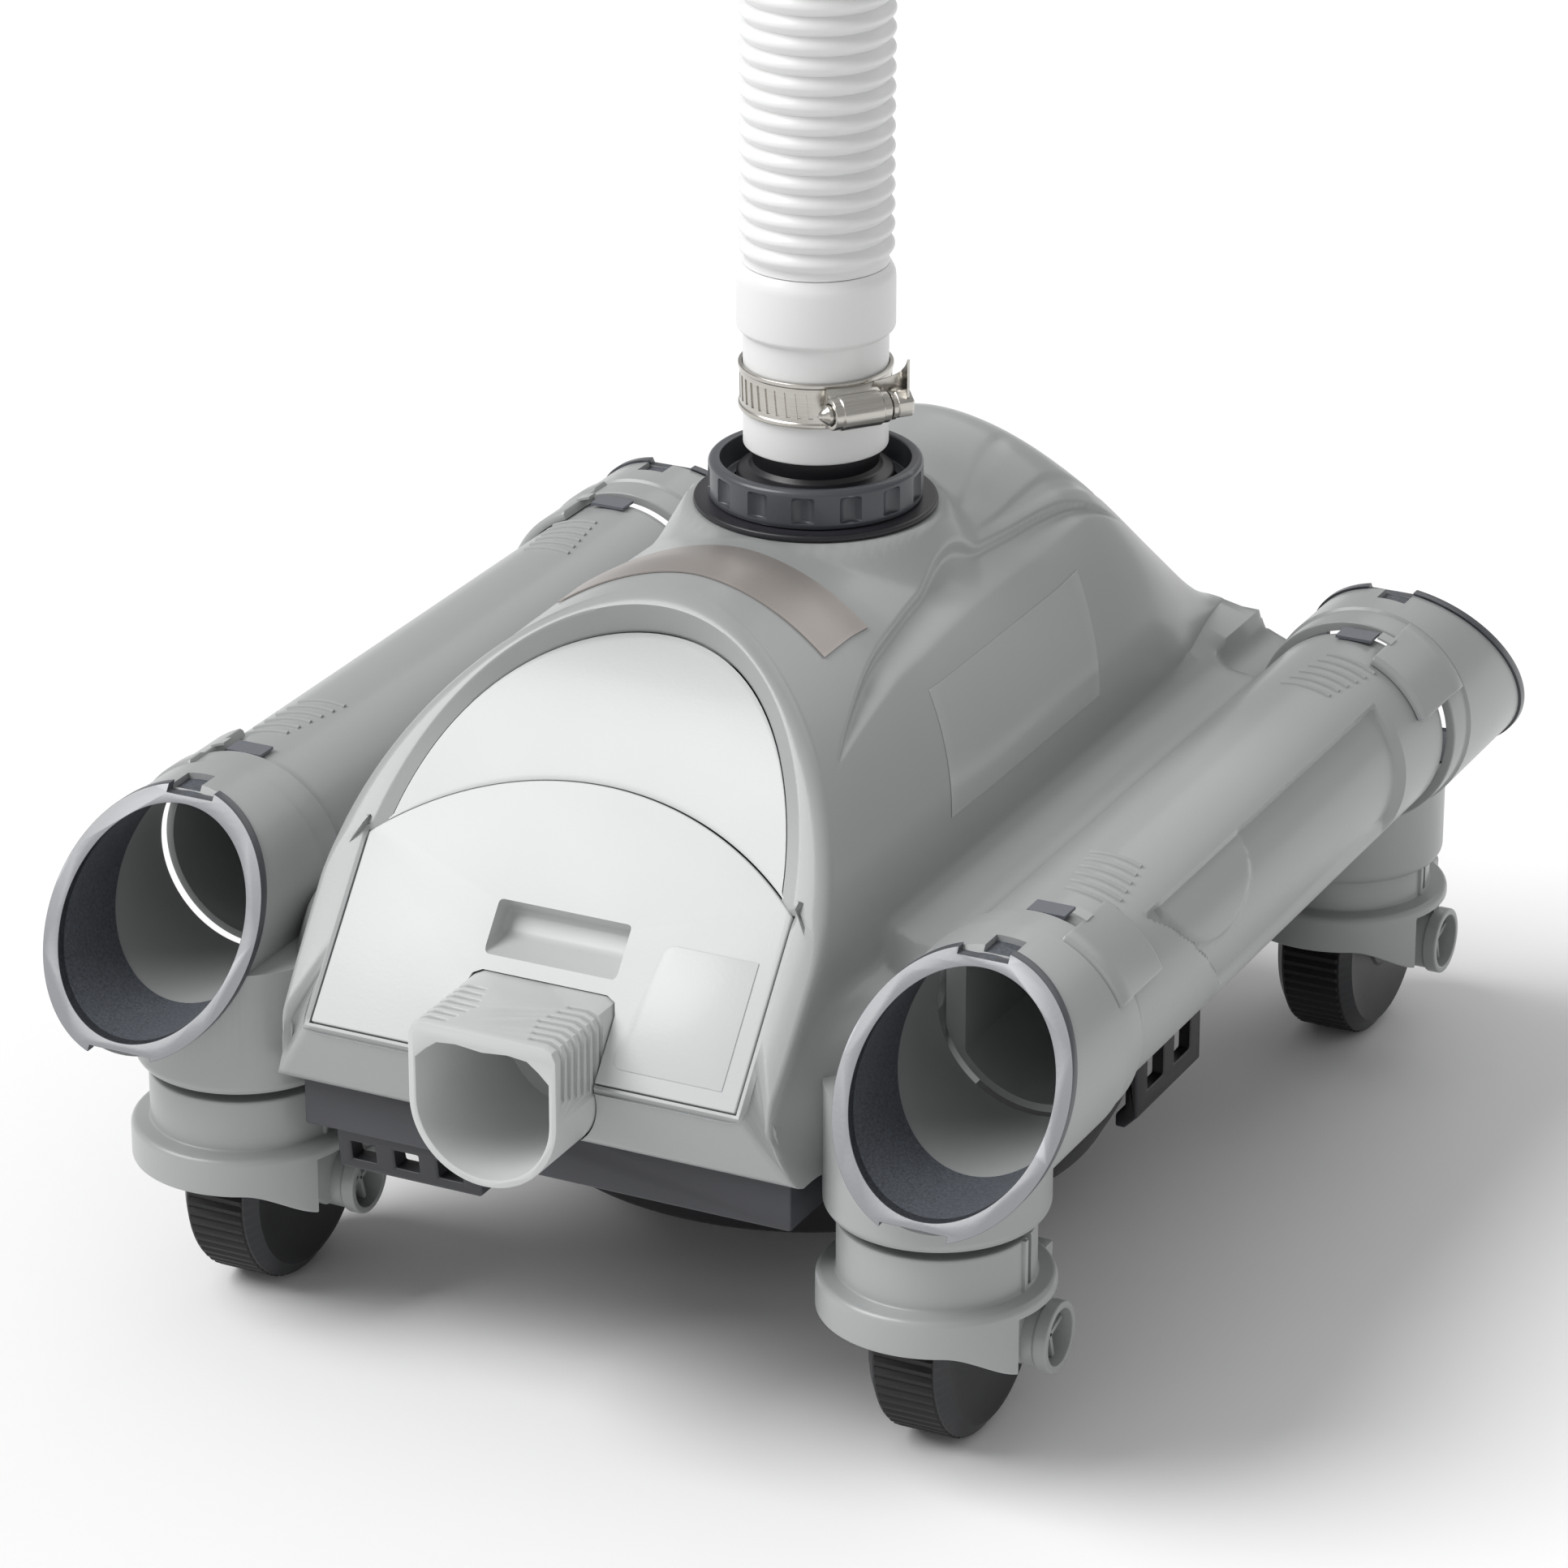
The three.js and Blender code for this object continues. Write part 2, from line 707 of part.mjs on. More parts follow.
function hoseRun() {
  const path = new THREE.CatmullRomCurve3(hoseRoute.map((p) => new THREE.Vector3(...p)));
  const section = new THREE.Shape(
    arc(0, 0, hoseRadius, 0, 2 * Math.PI, tiny).slice(0, tiny).map(([a, b]) => new THREE.Vector2(a, b)),
  );
  return new THREE.ExtrudeGeometry(section, { steps: 3, extrudePath: path });
}
add('hose_run', solid(hoseRun()), hoseWhite);

const upperCuff = add(
  'hose_upper_cuff',
  turned([
    [0, 0], [21.6, 0], [23.2, 3], [23.2, 20], [cuffRadius, 21], [cuffRadius, 50], [18.9, 50],
    [18.9, 8], [0, 8],
  ]),
  hoseWhite,
);
upperCuff.position.set(hoseLean, 0, hoseTop + 2 * gap);

const bandRadius = cuffRadius + gap;
const bandZ = 252.8;
const bandHalf = 6.7;

add(
  'clamp_band',
  turned([
    [bandRadius, bandZ - bandHalf], [bandRadius + 0.9, bandZ - bandHalf],
    [bandRadius + 0.9, bandZ + bandHalf], [bandRadius, bandZ + bandHalf],
    [bandRadius, bandZ - bandHalf],
  ], fine),
  steel,
);

// worm housing beside the band, its axis tangent to the hose
const wormAngle = THREE.MathUtils.degToRad(-38);
const wormRadius = bandRadius + 6.2;

function alongWorm(from, to, radius, sides) {
  const geometry = new THREE.CylinderGeometry(radius, radius, to - from, sides);
  geometry.translate(0, (from + to) / 2, 0);
  geometry.translate(wormRadius, 0, bandZ);
  return solid(geometry.rotateZ(wormAngle));
}

function clampHousing() {
  const bodyGeometry = new THREE.BoxGeometry(8.6, 18, 12.4);
  bodyGeometry.translate(wormRadius - 0.6, 0, bandZ).rotateZ(wormAngle);
  return cut(
    solid(bodyGeometry),
    alongWorm(-12, 12, 3.25, small),
    post(0, 0, 230, 280, bandRadius + 1.2, fine),
  );
}
add('clamp_housing', clampHousing(), steel);
add(
  'clamp_screw',
  join(alongWorm(-11.5, 15, 3.1, small), alongWorm(11, 16.5, 4.6, 6)),
  steel,
);

// ---- water works inside -------------------------------------------------------------------
// spur gear with a tooth on +X, or turned on by the angle turn
function gear(teeth, z0, z1, turn = 0) {
  const points = [];
  const tooth = [[-0.22, -1.15], [-0.07, 0.7], [0.07, 0.7], [0.22, -1.15]];
  for (let i = 0; i < teeth; i++) {
    for (const [at, height] of tooth) {
      const angle = turn + (2 * Math.PI * (i + at)) / teeth;
      const radius = gearModule * (teeth / 2 + height);
      points.push([radius * Math.cos(angle), radius * Math.sin(angle)]);
    }
  }
  return alongZ(points, z0, z1);
}

const manifoldTop = 195.7;
const manifoldBottom = 160;

function inletManifold() {
  const bowl = turned([
    [0, manifoldBottom], [34, manifoldBottom], [34, 190], [26, manifoldTop], [16, manifoldTop],
    [16, 190], [31, 188], [31, 163], [0, 163],
  ]);
  const shaftHole = post(0, 0, 150, 170, boreFor(2.94, tiny), tiny);
  const outlets = barAlongY(0, 178, -60, 60, 6, small);
  return cut(bowl, shaftHole, outlets);
}
add('inlet_manifold', inletManifold(), basePlastic);

function turbineRotor() {
  const hub = post(0, 0, 166, 186, 7, small);
  const blades = [];
  const count = 8;
  for (let i = 0; i < count; i++) {
    const geometry = new THREE.BoxGeometry(23, 2, 14);
    geometry.rotateX(0.5).translate(16, 0, rotorZ).rotateZ((2 * Math.PI * i) / count);
    blades.push(solid(geometry));
  }
  return cut(join(hub, ...blades), post(0, 0, 160, 190, 3, tiny));
}
add('turbine_rotor', turbineRotor(), gearWhite);

const shaftBottom = 126;
add('turbine_shaft', post(0, 0, shaftBottom, 187, 2.94, tiny), steel);

const idlerX = (gearModule * (pinionTeeth + idlerTeeth)) / 2;
const driveX = idlerX + (gearModule * (idlerPinionTeeth + driveTeeth)) / 2;

add('drive_pinion', cut(gear(pinionTeeth, 148, 156), post(0, 0, 140, 160, 3, tiny)), gearWhite);

function idlerGear() {
  const wheel = gear(idlerTeeth, 149, 155, Math.PI / idlerTeeth);
  const smallWheel = gear(idlerPinionTeeth, 138, 149.5);
  return cut(join(wheel, smallWheel), post(0, 0, 130, 160, boreFor(2, tiny), tiny));
}
const idler = add('idler_gear', idlerGear(), gearWhite);
idler.position.x = idlerX;

const driveGear = add(
  'diverter_gear',
  cut(gear(driveTeeth, 139, 145, Math.PI / driveTeeth), post(0, 0, 130, 150, 4, tiny)),
  gearWhite,
);
driveGear.position.x = driveX;

const diverter = add(
  'diverter_disc',
  cut(
    join(post(0, 0, 118, 122, 17, round), post(0, 0, 121, 147, 3.94, tiny)),
    box(2, 13, -6, 6, 116, 124),
  ),
  gearWhite,
);
diverter.position.x = driveX;

function gearPlate() {
  const plate = alongZ([[-30, -34], [72, -34], [72, 34], [-30, 34]], 132, 135);
  const idlerPin = post(idlerX, 0, 134, 157, 2, tiny);
  const feet = [[-26, -30], [68, -30], [68, 30], [-26, 30]].map(([x, y]) =>
    post(x, y, 88.4, 133, 3.5, tiny));
  return cut(
    join(plate, idlerPin, ...feet),
    post(0, 0, 120, 140, boreFor(2.94, tiny), tiny),
    post(driveX, 0, 120, 140, boreFor(3.94, tiny), tiny),
  );
}
add('gear_plate', gearPlate(), basePlastic);

// jet block: round chamber under the diverter, with a pipe and a riser to each side tube
const riserX = 86;

function jetBlock() {
  const chamber = post(driveX, 0, 96, 117.6, 20);
  const pipe = barAlongX(0, 107, -riserX, riserX, 5.6, small);
  const risers = [-riserX, riserX].map((x) => post(x, 0, 101.5, jetZ + 6.5, 6.4, small));
  const stubs = [[-93.4, -riserX], [riserX, 93.4]].map(([from, to]) =>
    barAlongX(0, jetZ, from, to, 5.6, small));
  const hollow = post(driveX, 0, 99, 118, 17);
  const pipeBore = barAlongX(0, 107, -riserX, riserX, 4, tiny);
  const riserBores = [-riserX, riserX].map((x) => post(x, 0, 103.5, jetZ + 4, 4.4, tiny));
  const stubBores = [[-94, -riserX], [riserX, 94]].map(([from, to]) =>
    barAlongX(0, jetZ, from, to, 3.6, tiny));
  return cut(
    join(chamber, pipe, ...risers, ...stubs), hollow, pipeBore, ...riserBores, ...stubBores,
  );
}
add('jet_block', jetBlock(), basePlastic);

function jetNozzle(side) {
  const sleeve = barAlongX(0, jetZ, 93.7, tubeX - 12, 5.6, small);
  const nozzle = cut(sleeve, barAlongX(0, jetZ, 93, tubeX - 11, 3.6, tiny));
  return side > 0 ? nozzle : mirrored(nozzle, 'x');
}
add('jet_nozzle_right', jetNozzle(1), gearWhite);
add('jet_nozzle_left', jetNozzle(-1), gearWhite);

// filter screen: slotted basket behind the lid
function filterScreen() {
  const outer = box(-48, 48, -146, -84, 94, 118);
  const inner = box(-46, 46, -144, -86, 96, 119);
  const slots = [];
  for (let i = 0; i < 9; i++) {
    slots.push(box(-42 + i * 9.6, -37 + i * 9.6, -140, -90, 92, 97));
  }
  return cut(outer, inner, ...slots);
}
add('filter_screen', filterScreen(), gearWhite);

add('ballast_weight', box(-60, 60, 70, 130, 75.3, 83), ballastIron);

// ---- placed on the middle of the footprint ------------------------------------------------
part.position.y = originShift;
part.updateMatrixWorld(true);

export default part;
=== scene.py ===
import json
import math

import bmesh
import bpy
from mathutils import Matrix, Vector


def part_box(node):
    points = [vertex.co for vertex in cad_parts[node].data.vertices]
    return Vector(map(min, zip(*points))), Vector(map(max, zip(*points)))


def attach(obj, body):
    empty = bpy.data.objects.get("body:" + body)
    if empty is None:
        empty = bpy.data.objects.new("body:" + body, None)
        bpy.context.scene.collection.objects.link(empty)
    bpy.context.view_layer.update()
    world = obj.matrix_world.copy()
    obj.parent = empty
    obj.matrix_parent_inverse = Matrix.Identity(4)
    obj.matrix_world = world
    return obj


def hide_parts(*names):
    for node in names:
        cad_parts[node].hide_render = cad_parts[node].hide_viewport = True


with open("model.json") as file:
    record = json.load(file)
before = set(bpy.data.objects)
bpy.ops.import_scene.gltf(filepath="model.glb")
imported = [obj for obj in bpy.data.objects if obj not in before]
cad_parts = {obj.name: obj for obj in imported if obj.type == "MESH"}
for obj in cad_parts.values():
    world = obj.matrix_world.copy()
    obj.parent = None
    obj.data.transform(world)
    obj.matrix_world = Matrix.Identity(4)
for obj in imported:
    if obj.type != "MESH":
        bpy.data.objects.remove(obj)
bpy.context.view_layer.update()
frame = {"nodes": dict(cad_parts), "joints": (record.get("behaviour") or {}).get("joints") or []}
print("frame loaded")

mm = 0.001
jointPlace = {j["name"]: Vector(j["pos_m"]) for j in frame["joints"]}
hoseAxis = jointPlace["hose_swivel"]
hoseY = hoseAxis.y  # everything on the body is laid out from the hose axis
corners = ("front_right", "front_left", "rear_right", "rear_left")


def boxOf(node):
    low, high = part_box(node)
    return Vector(low), Vector(high)


def deselectAll():
    if bpy.context.mode != "OBJECT":
        bpy.ops.object.mode_set(mode="OBJECT")
    bpy.ops.object.select_all(action="DESELECT")


def makeActive(piece):
    deselectAll()
    piece.select_set(True)
    bpy.context.view_layer.objects.active = piece


# a piece from a few points, edges and faces, in millimetres from the hose axis
def startPiece(name, points, edges=(), faces=()):
    mesh = bpy.data.meshes.new(name)
    places = [(x * mm, y * mm + hoseY, z * mm) for x, y, z in points]
    mesh.from_pydata(places, edges, faces)
    piece = bpy.data.objects.new(name, mesh)
    bpy.context.collection.objects.link(piece)
    makeActive(piece)
    return piece


def openEdit(selectAll=True):
    bpy.ops.object.mode_set(mode="EDIT")
    bpy.ops.mesh.select_all(action="SELECT" if selectAll else "DESELECT")


def closeEdit():
    bpy.ops.object.mode_set(mode="OBJECT")


def smoothPiece(piece, angle=32):
    makeActive(piece)
    bpy.ops.object.shade_smooth_by_angle(angle=math.radians(angle))
    return piece


def modify(piece, kind, **values):
    makeActive(piece)
    modifier = piece.modifiers.new(kind.title(), kind)
    for key, value in values.items():
        setattr(modifier, key, value)
    bpy.ops.object.modifier_apply(modifier=modifier.name)
    return piece


def softenEdges(piece, width, segments=2, angle=35):
    return modify(
        piece, "BEVEL", width=width * mm, segments=segments, limit_method="ANGLE",
        angle_limit=math.radians(angle), harden_normals=False,
    )


# joins, cuts or keeps the common part of two pieces, and removes the tool
def combine(piece, tool, how="DIFFERENCE", solver="EXACT"):
    modify(piece, "BOOLEAN", object=tool, operation=how, solver=solver)
    bpy.data.objects.remove(tool)
    return piece


# profile points are (radius, height along the axis); the axis starts at centre
def spinPiece(name, profile, centre=(0, 0, 0), axis="Z", steps=96, closed=True, start=0.0):
    centre = Vector(centre)
    turnTo = {
        "Z": Matrix.Identity(3),
        "Y": Matrix.Rotation(math.radians(-90), 3, "X"),
        "X": Matrix.Rotation(math.radians(90), 3, "Y"),
    }[axis] if isinstance(axis, str) else Vector((0, 0, 1)).rotation_difference(Vector(axis)).to_matrix()
    points = []
    for radius, height in profile:
        spot = Vector((radius * math.cos(start), radius * math.sin(start), height))
        points.append(centre + turnTo @ spot)
    count = len(points)
    edges = [(i, i + 1) for i in range(count - 1)]
    if closed:
        edges.append((count - 1, 0))
    piece = startPiece(name, points, edges)
    openEdit()
    where = Vector((centre.x * mm, centre.y * mm + hoseY, centre.z * mm))
    bpy.ops.mesh.spin(
        steps=steps, angle=2 * math.pi, center=where, axis=turnTo @ Vector((0, 0, 1)),
        use_auto_merge=True,
    )
    bpy.ops.mesh.select_all(action="SELECT")
    bpy.ops.mesh.remove_doubles(threshold=1e-6)
    bpy.ops.mesh.normals_make_consistent(inside=False)
    closeEdit()
    return piece


# a flat outline given in one plane and pulled out along push, all in millimetres
def pulledPiece(name, outline, push):
    count = len(outline)
    piece = startPiece(name, outline, [(i, (i + 1) % count) for i in range(count)])
    openEdit()
    bpy.ops.mesh.edge_face_add()
    bpy.ops.mesh.extrude_region_move(
        TRANSFORM_OT_translate={"value": Vector(push) * mm}
    )
    bpy.ops.mesh.select_all(action="SELECT")
    bpy.ops.mesh.normals_make_consistent(inside=False)
    closeEdit()
    return piece


def arcPoints(cx, cy, radius, startDeg, endDeg, count):
    step = (endDeg - startDeg) / count
    angles = [math.radians(startDeg + step * i) for i in range(count + 1)]
    return [(cx + radius * math.cos(a), cy + radius * math.sin(a)) for a in angles]


# a profile's sharp corners rounded to the radii given as a third number
def roundedProfile(points, closed=True, steps=4):
    out = []
    count = len(points)
    for i, point in enumerate(points):
        radius = point[2] if len(point) > 2 else 0
        here = Vector(point[:2])
        if radius == 0 or (not closed and i in (0, count - 1)):
            out.append(tuple(here))
            continue
        before = (Vector(points[i - 1][:2]) - here)
        after = (Vector(points[(i + 1) % count][:2]) - here)
        reach = min(radius, before.length * 0.49, after.length * 0.49)
        first = here + before.normalized() * reach
        last = here + after.normalized() * reach
        for k in range(steps + 1):
            t = k / steps
            out.append(tuple(first * (1 - t) ** 2 + here * 2 * t * (1 - t) + last * t * t))
    return out


def mirroredCopy(piece, name, flipX=False, flipY=False):
    makeActive(piece)
    bpy.ops.object.duplicate()
    copy = bpy.context.object
    copy.name = copy.data.name = name
    openEdit()
    bpy.ops.transform.resize(
        value=(-1 if flipX else 1, -1 if flipY else 1, 1), orient_type="GLOBAL",
        center_override=(0, hoseY, 0),
    )
    bpy.ops.mesh.normals_make_consistent(inside=False)
    closeEdit()
    return copy


def shiftedCopy(piece, name, shift):
    makeActive(piece)
    bpy.ops.object.duplicate()
    copy = bpy.context.object
    copy.name = copy.data.name = name
    openEdit()
    bpy.ops.transform.translate(value=Vector(shift) * mm)
    closeEdit()
    return copy


def joinPieces(name, pieces):
    makeActive(pieces[0])
    for piece in pieces:
        piece.select_set(True)
    bpy.context.view_layer.objects.active = pieces[0]
    bpy.ops.object.join()
    whole = bpy.context.object
    whole.name = whole.data.name = name
    return whole


def mergedCopy(node, name):
    makeActive(frame["nodes"][node])
    bpy.ops.object.duplicate()
    copy = bpy.context.object
    copy.name = copy.data.name = name
    openEdit()
    bpy.ops.mesh.remove_doubles(threshold=1e-6)
    closeEdit()
    return copy


# ---- camera, floor and light ----
view = {"place": (0.78986, -1.60986, 0.89244), "turn": 26.4, "down": 23.13, "lens": 150.45}
cameraData = bpy.data.cameras.new("camera")
cameraData.lens = view["lens"]
cameraData.sensor_width = 36
cameraData.clip_end = 20
camera = bpy.data.objects.new("camera", cameraData)
camera.location = view["place"]
camera.rotation_euler = (math.radians(90 - view["down"]), 0, math.radians(view["turn"]))
bpy.context.collection.objects.link(camera)
bpy.context.scene.camera = camera

studio = {"world": 0.45, "sun": 2.35, "fill": 1.6, "back": 5, "floor": 0.97}


def softLight(name, place, target, size, power, colour=(1, 1, 1)):
    data = bpy.data.lights.new(name, "AREA")
    data.shape = "RECTANGLE"
    data.size, data.size_y = size
    data.energy = power
    data.color = colour
    lamp = bpy.data.objects.new(name, data)
    lamp.location = place
    lamp.rotation_euler = (Vector(target) - Vector(place)).to_track_quat("-Z", "Y").to_euler()
    bpy.context.collection.objects.link(lamp)


sun = bpy.data.objects.new("sun", bpy.data.lights.new("sun", "SUN"))
sun.data.energy, sun.data.angle = studio["sun"], math.radians(38)
sun.rotation_euler = Vector((1.2, 0.95, -1.75)).to_track_quat("-Z", "Y").to_euler()
bpy.context.collection.objects.link(sun)
softLight("fill", (-0.5, -2.2, 0.45), (0, 0, 0.1), (1.6, 0.7), studio["fill"])
softLight("back", (0.3, 1.7, 1.5), (0, 0, 0.15), (2.0, 0.8), studio["back"])
world = bpy.data.worlds.new("studio")
world.use_nodes = True
world.node_tree.nodes["Background"].inputs["Color"].default_value = (1, 1, 1, 1)
world.node_tree.nodes["Background"].inputs["Strength"].default_value = studio["world"]
bpy.context.scene.world = world
bpy.context.scene.view_settings.view_transform = "Standard"

deselectAll()
bpy.ops.mesh.primitive_plane_add(size=14, location=(0, 0, 0))
floor = bpy.context.object
floor.name = "floor"
floorPaint = bpy.data.materials.new("floorPaint")
floorPaint.use_nodes = True
paintShader = floorPaint.node_tree.nodes["Principled BSDF"]
paintShader.inputs["Base Color"].default_value = (studio["floor"],) * 3 + (1,)
paintShader.inputs["Roughness"].default_value = 0.9
paintShader.inputs["Specular IOR Level"].default_value = 0.1
floor.data.materials.append(floorPaint)
print("camera and light set")


# ---- finishes ----
def newGroup(name, inputs, outputs):
    group = bpy.data.node_groups.new(name, "ShaderNodeTree")
    for label, kind, value in inputs:
        socket = group.interface.new_socket(label, in_out="INPUT", socket_type=kind)
        socket.default_value = value
    for label, kind in outputs:
        group.interface.new_socket(label, in_out="OUTPUT", socket_type=kind)
    return group, group.nodes.new("NodeGroupInput"), group.nodes.new("NodeGroupOutput")


# mottle of the moulding, its fine skin, and lighter worn edges
def buildMouldGroup():
    number, colour = "NodeSocketFloat", "NodeSocketColor"
    group, given, result = newGroup(
        "mouldedSkin",
        [("Colour", colour, (0.5, 0.5, 0.5, 1)), ("Mottle", number, 0.03), ("Mottle size", number, 30.0),
         ("Skin size", number, 900.0), ("Roughness", number, 0.4), ("Edge wear", number, 0.1),
         ("Speckle", number, 0.0)],
        [("Colour", colour), ("Roughness", number), ("Height", number)],
    )
    add = group.nodes.new
    link = group.links.new
    spot = add("ShaderNodeTexCoord")
    mottle = add("ShaderNodeTexNoise")
    mottle.inputs["Detail"].default_value = 4
    skin = add("ShaderNodeTexNoise")
    skin.inputs["Detail"].default_value = 2
    link(spot.outputs["Object"], mottle.inputs["Vector"])
    link(spot.outputs["Object"], skin.inputs["Vector"])
    link(given.outputs["Mottle size"], mottle.inputs["Scale"])
    link(given.outputs["Skin size"], skin.inputs["Scale"])

    def maths(operation, first, second, clamp=False):
        node = add("ShaderNodeMath")
        node.operation = operation
        node.use_clamp = clamp
        for socket, value in zip(node.inputs, (first, second)):
            if isinstance(value, (int, float)):
                socket.default_value = value
            else:
                link(value, socket)
        return node.outputs[0]

    off = maths("SUBTRACT", mottle.outputs["Fac"], 0.5)
    shade = maths("MULTIPLY", off, given.outputs["Mottle"])
    dots = maths("MULTIPLY", maths("SUBTRACT", skin.outputs["Fac"], 0.5), given.outputs["Speckle"])
    bend = add("ShaderNodeNewGeometry")
    edge = maths("MULTIPLY", maths("SUBTRACT", bend.outputs["Pointiness"], 0.53), 12.0, clamp=True)
    wear = maths("MULTIPLY", edge, given.outputs["Edge wear"])
    gain = maths("ADD", maths("ADD", maths("ADD", shade, dots), wear), 1.0)
    tint = add("ShaderNodeVectorMath")
    tint.operation = "SCALE"
    link(given.outputs["Colour"], tint.inputs[0])
    link(gain, tint.inputs["Scale"])
    link(tint.outputs[0], result.inputs["Colour"])
    link(maths("ADD", given.outputs["Roughness"], maths("MULTIPLY", off, 0.12)), result.inputs["Roughness"])
    link(skin.outputs["Fac"], result.inputs["Height"])
    return group


mouldedSkin = buildMouldGroup()


def mouldedPlastic(name, look):
    material = bpy.data.materials.new(name)
    material.use_nodes = True
    nodes, links = material.node_tree.nodes, material.node_tree.links
    shader = nodes["Principled BSDF"]
    group = nodes.new("ShaderNodeGroup")
    group.node_tree = mouldedSkin
    group.inputs["Colour"].default_value = (*look["colour"], 1)
    for label in ("Mottle", "Mottle size", "Skin size", "Roughness", "Edge wear", "Speckle"):
        if label in look:
            group.inputs[label].default_value = look[label]
    bump = nodes.new("ShaderNodeBump")
    bump.inputs["Strength"].default_value = look.get("bump", 0.08)
    bump.inputs["Distance"].default_value = 0.0004
    links.new(group.outputs["Colour"], shader.inputs["Base Color"])
    links.new(group.outputs["Roughness"], shader.inputs["Roughness"])
    links.new(group.outputs["Height"], bump.inputs["Height"])
    links.new(bump.outputs["Normal"], shader.inputs["Normal"])
    shader.inputs["Metallic"].default_value = look.get("metal", 0)
    shader.inputs["Coat Weight"].default_value = look.get("coat", 0)
    shader.inputs["Coat Roughness"].default_value = 0.15
    if "subsurface" in look:
        shader.inputs["Subsurface Weight"].default_value = look["subsurface"]
        shader.inputs["Subsurface Radius"].default_value = (0.004, 0.004, 0.004)
        shader.inputs["Subsurface Scale"].default_value = 1.0
    return material


finishes = {
    "shell": {"colour": (0.355, 0.365, 0.365), "Roughness": 0.34, "Mottle": 0.05, "coat": 0.15},
    "panel": {"colour": (0.55, 0.56, 0.56), "Roughness": 0.38, "Mottle": 0.04, "coat": 0.1},
    "slate": {"colour": (0.060, 0.064, 0.074), "Roughness": 0.36, "Edge wear": 1.2, "coat": 0.2},
    "sleeve": {"colour": (0.085, 0.093, 0.108), "Roughness": 0.55, "Speckle": 1.6, "Skin size": 1400.0,
               "bump": 0.25},
    "linerFace": {"colour": (0.25, 0.255, 0.27), "Roughness": 0.3, "Edge wear": 0.5, "coat": 0.2},
    "black": {"colour": (0.012, 0.012, 0.015), "Roughness": 0.38, "Edge wear": 3.0},
    "base": {"colour": (0.030, 0.031, 0.036), "Roughness": 0.45, "Edge wear": 1.5},
    "hose": {"colour": (0.80, 0.805, 0.80), "Roughness": 0.35, "Mottle": 0.02, "subsurface": 0.25},
    "tread": {"colour": (0.008, 0.008, 0.009), "Roughness": 0.6, "Edge wear": 1.5, "bump": 0.2},
    "disc": {"colour": (0.013, 0.014, 0.016), "Roughness": 0.4, "Edge wear": 2.0},
    "badge": {"colour": (0.36, 0.33, 0.31), "Roughness": 0.34, "metal": 0.45, "Mottle": 0.1},
    "label": {"colour": (0.385, 0.395, 0.395), "Roughness": 0.2, "coat": 0.5},
    "works": {"colour": (0.72, 0.70, 0.66), "Roughness": 0.5},
    "seal": {"colour": (0.02, 0.02, 0.02), "Roughness": 0.75},
    "iron": {"colour": (0.10, 0.10, 0.098), "Roughness": 0.6, "metal": 0.8, "bump": 0.5},
}
paint = {name: mouldedPlastic(name, look) for name, look in finishes.items()}


# rolled steel: fine lines along the band and faint stains
def rolledSteel(name, look):
    material = bpy.data.materials.new(name)
    material.use_nodes = True
    nodes, links = material.node_tree.nodes, material.node_tree.links
    shader = nodes["Principled BSDF"]
    shader.inputs["Metallic"].default_value = 1
    spot = nodes.new("ShaderNodeTexCoord")
    stretch = nodes.new("ShaderNodeMapping")
    stretch.inputs["Scale"].default_value = (60, 60, 2600)
    lines = nodes.new("ShaderNodeTexNoise")
    lines.inputs["Scale"].default_value = 1.0
    lines.inputs["Detail"].default_value = 3
    ramp = nodes.new("ShaderNodeMapRange")
    ramp.inputs["To Min"].default_value = look["smooth"]
    ramp.inputs["To Max"].default_value = look["rough"]
    tone = nodes.new("ShaderNodeMix")
    tone.data_type = "RGBA"
    tone.inputs[6].default_value = (*look["dark"], 1)
    tone.inputs[7].default_value = (*look["light"], 1)
    bump = nodes.new("ShaderNodeBump")
    bump.inputs["Strength"].default_value = 0.12
    bump.inputs["Distance"].default_value = 0.0002
    links.new(spot.outputs["Object"], stretch.inputs["Vector"])
    links.new(stretch.outputs["Vector"], lines.inputs["Vector"])
    links.new(lines.outputs["Fac"], ramp.inputs["Value"])
    links.new(lines.outputs["Fac"], tone.inputs[0])
    links.new(lines.outputs["Fac"], bump.inputs["Height"])
    links.new(ramp.outputs["Result"], shader.inputs["Roughness"])
    links.new(tone.outputs[2], shader.inputs["Base Color"])
    links.new(bump.outputs["Normal"], shader.inputs["Normal"])
    return material


paint["steel"] = rolledSteel(
    "steel", {"smooth": 0.14, "rough": 0.34, "dark": (0.42, 0.40, 0.37), "light": (0.66, 0.64, 0.60)},
)
print("finishes made")


# gives a finished piece its paint and its body, and hides the nodes it stands for
def fit(piece, finish, body, slot, *nodes, angle=32):
    piece.data.materials.clear()
    piece.data.materials.append(paint[finish])
    smoothPiece(piece, angle)
    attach(piece, body)
    if nodes:
        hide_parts(*nodes)
    return piece


def repaint(node, finish):
    materials = frame["nodes"][node].data.materials
    if len(materials):
        materials[0] = paint[finish]
    else:
        materials.append(paint[finish])


# ---- hose ----
hose = {"pitch": 5.85, "crest": 22.8, "valley": 20.7, "run": 286.0, "leans": (
    0, 0, 0, 0.1, 0.2, 0.4, 0.6, 0.9, 1.2, 1.5, 1.9, 2.3, 2.6, 2.9, 3.2)}
cuffLow, cuffHigh = boxOf("hose_lower_cuff")
runStart = cuffHigh.z / mm + 0.3
stepHeight = hose["run"] / (len(hose["leans"]) - 1)


def leanAt(height):
    place = min(max((height - runStart) / stepHeight, 0), len(hose["leans"]) - 1.001)
    i = int(place)
    t = place - i
    return hose["leans"][i] * (1 - t) + hose["leans"][i + 1] * t


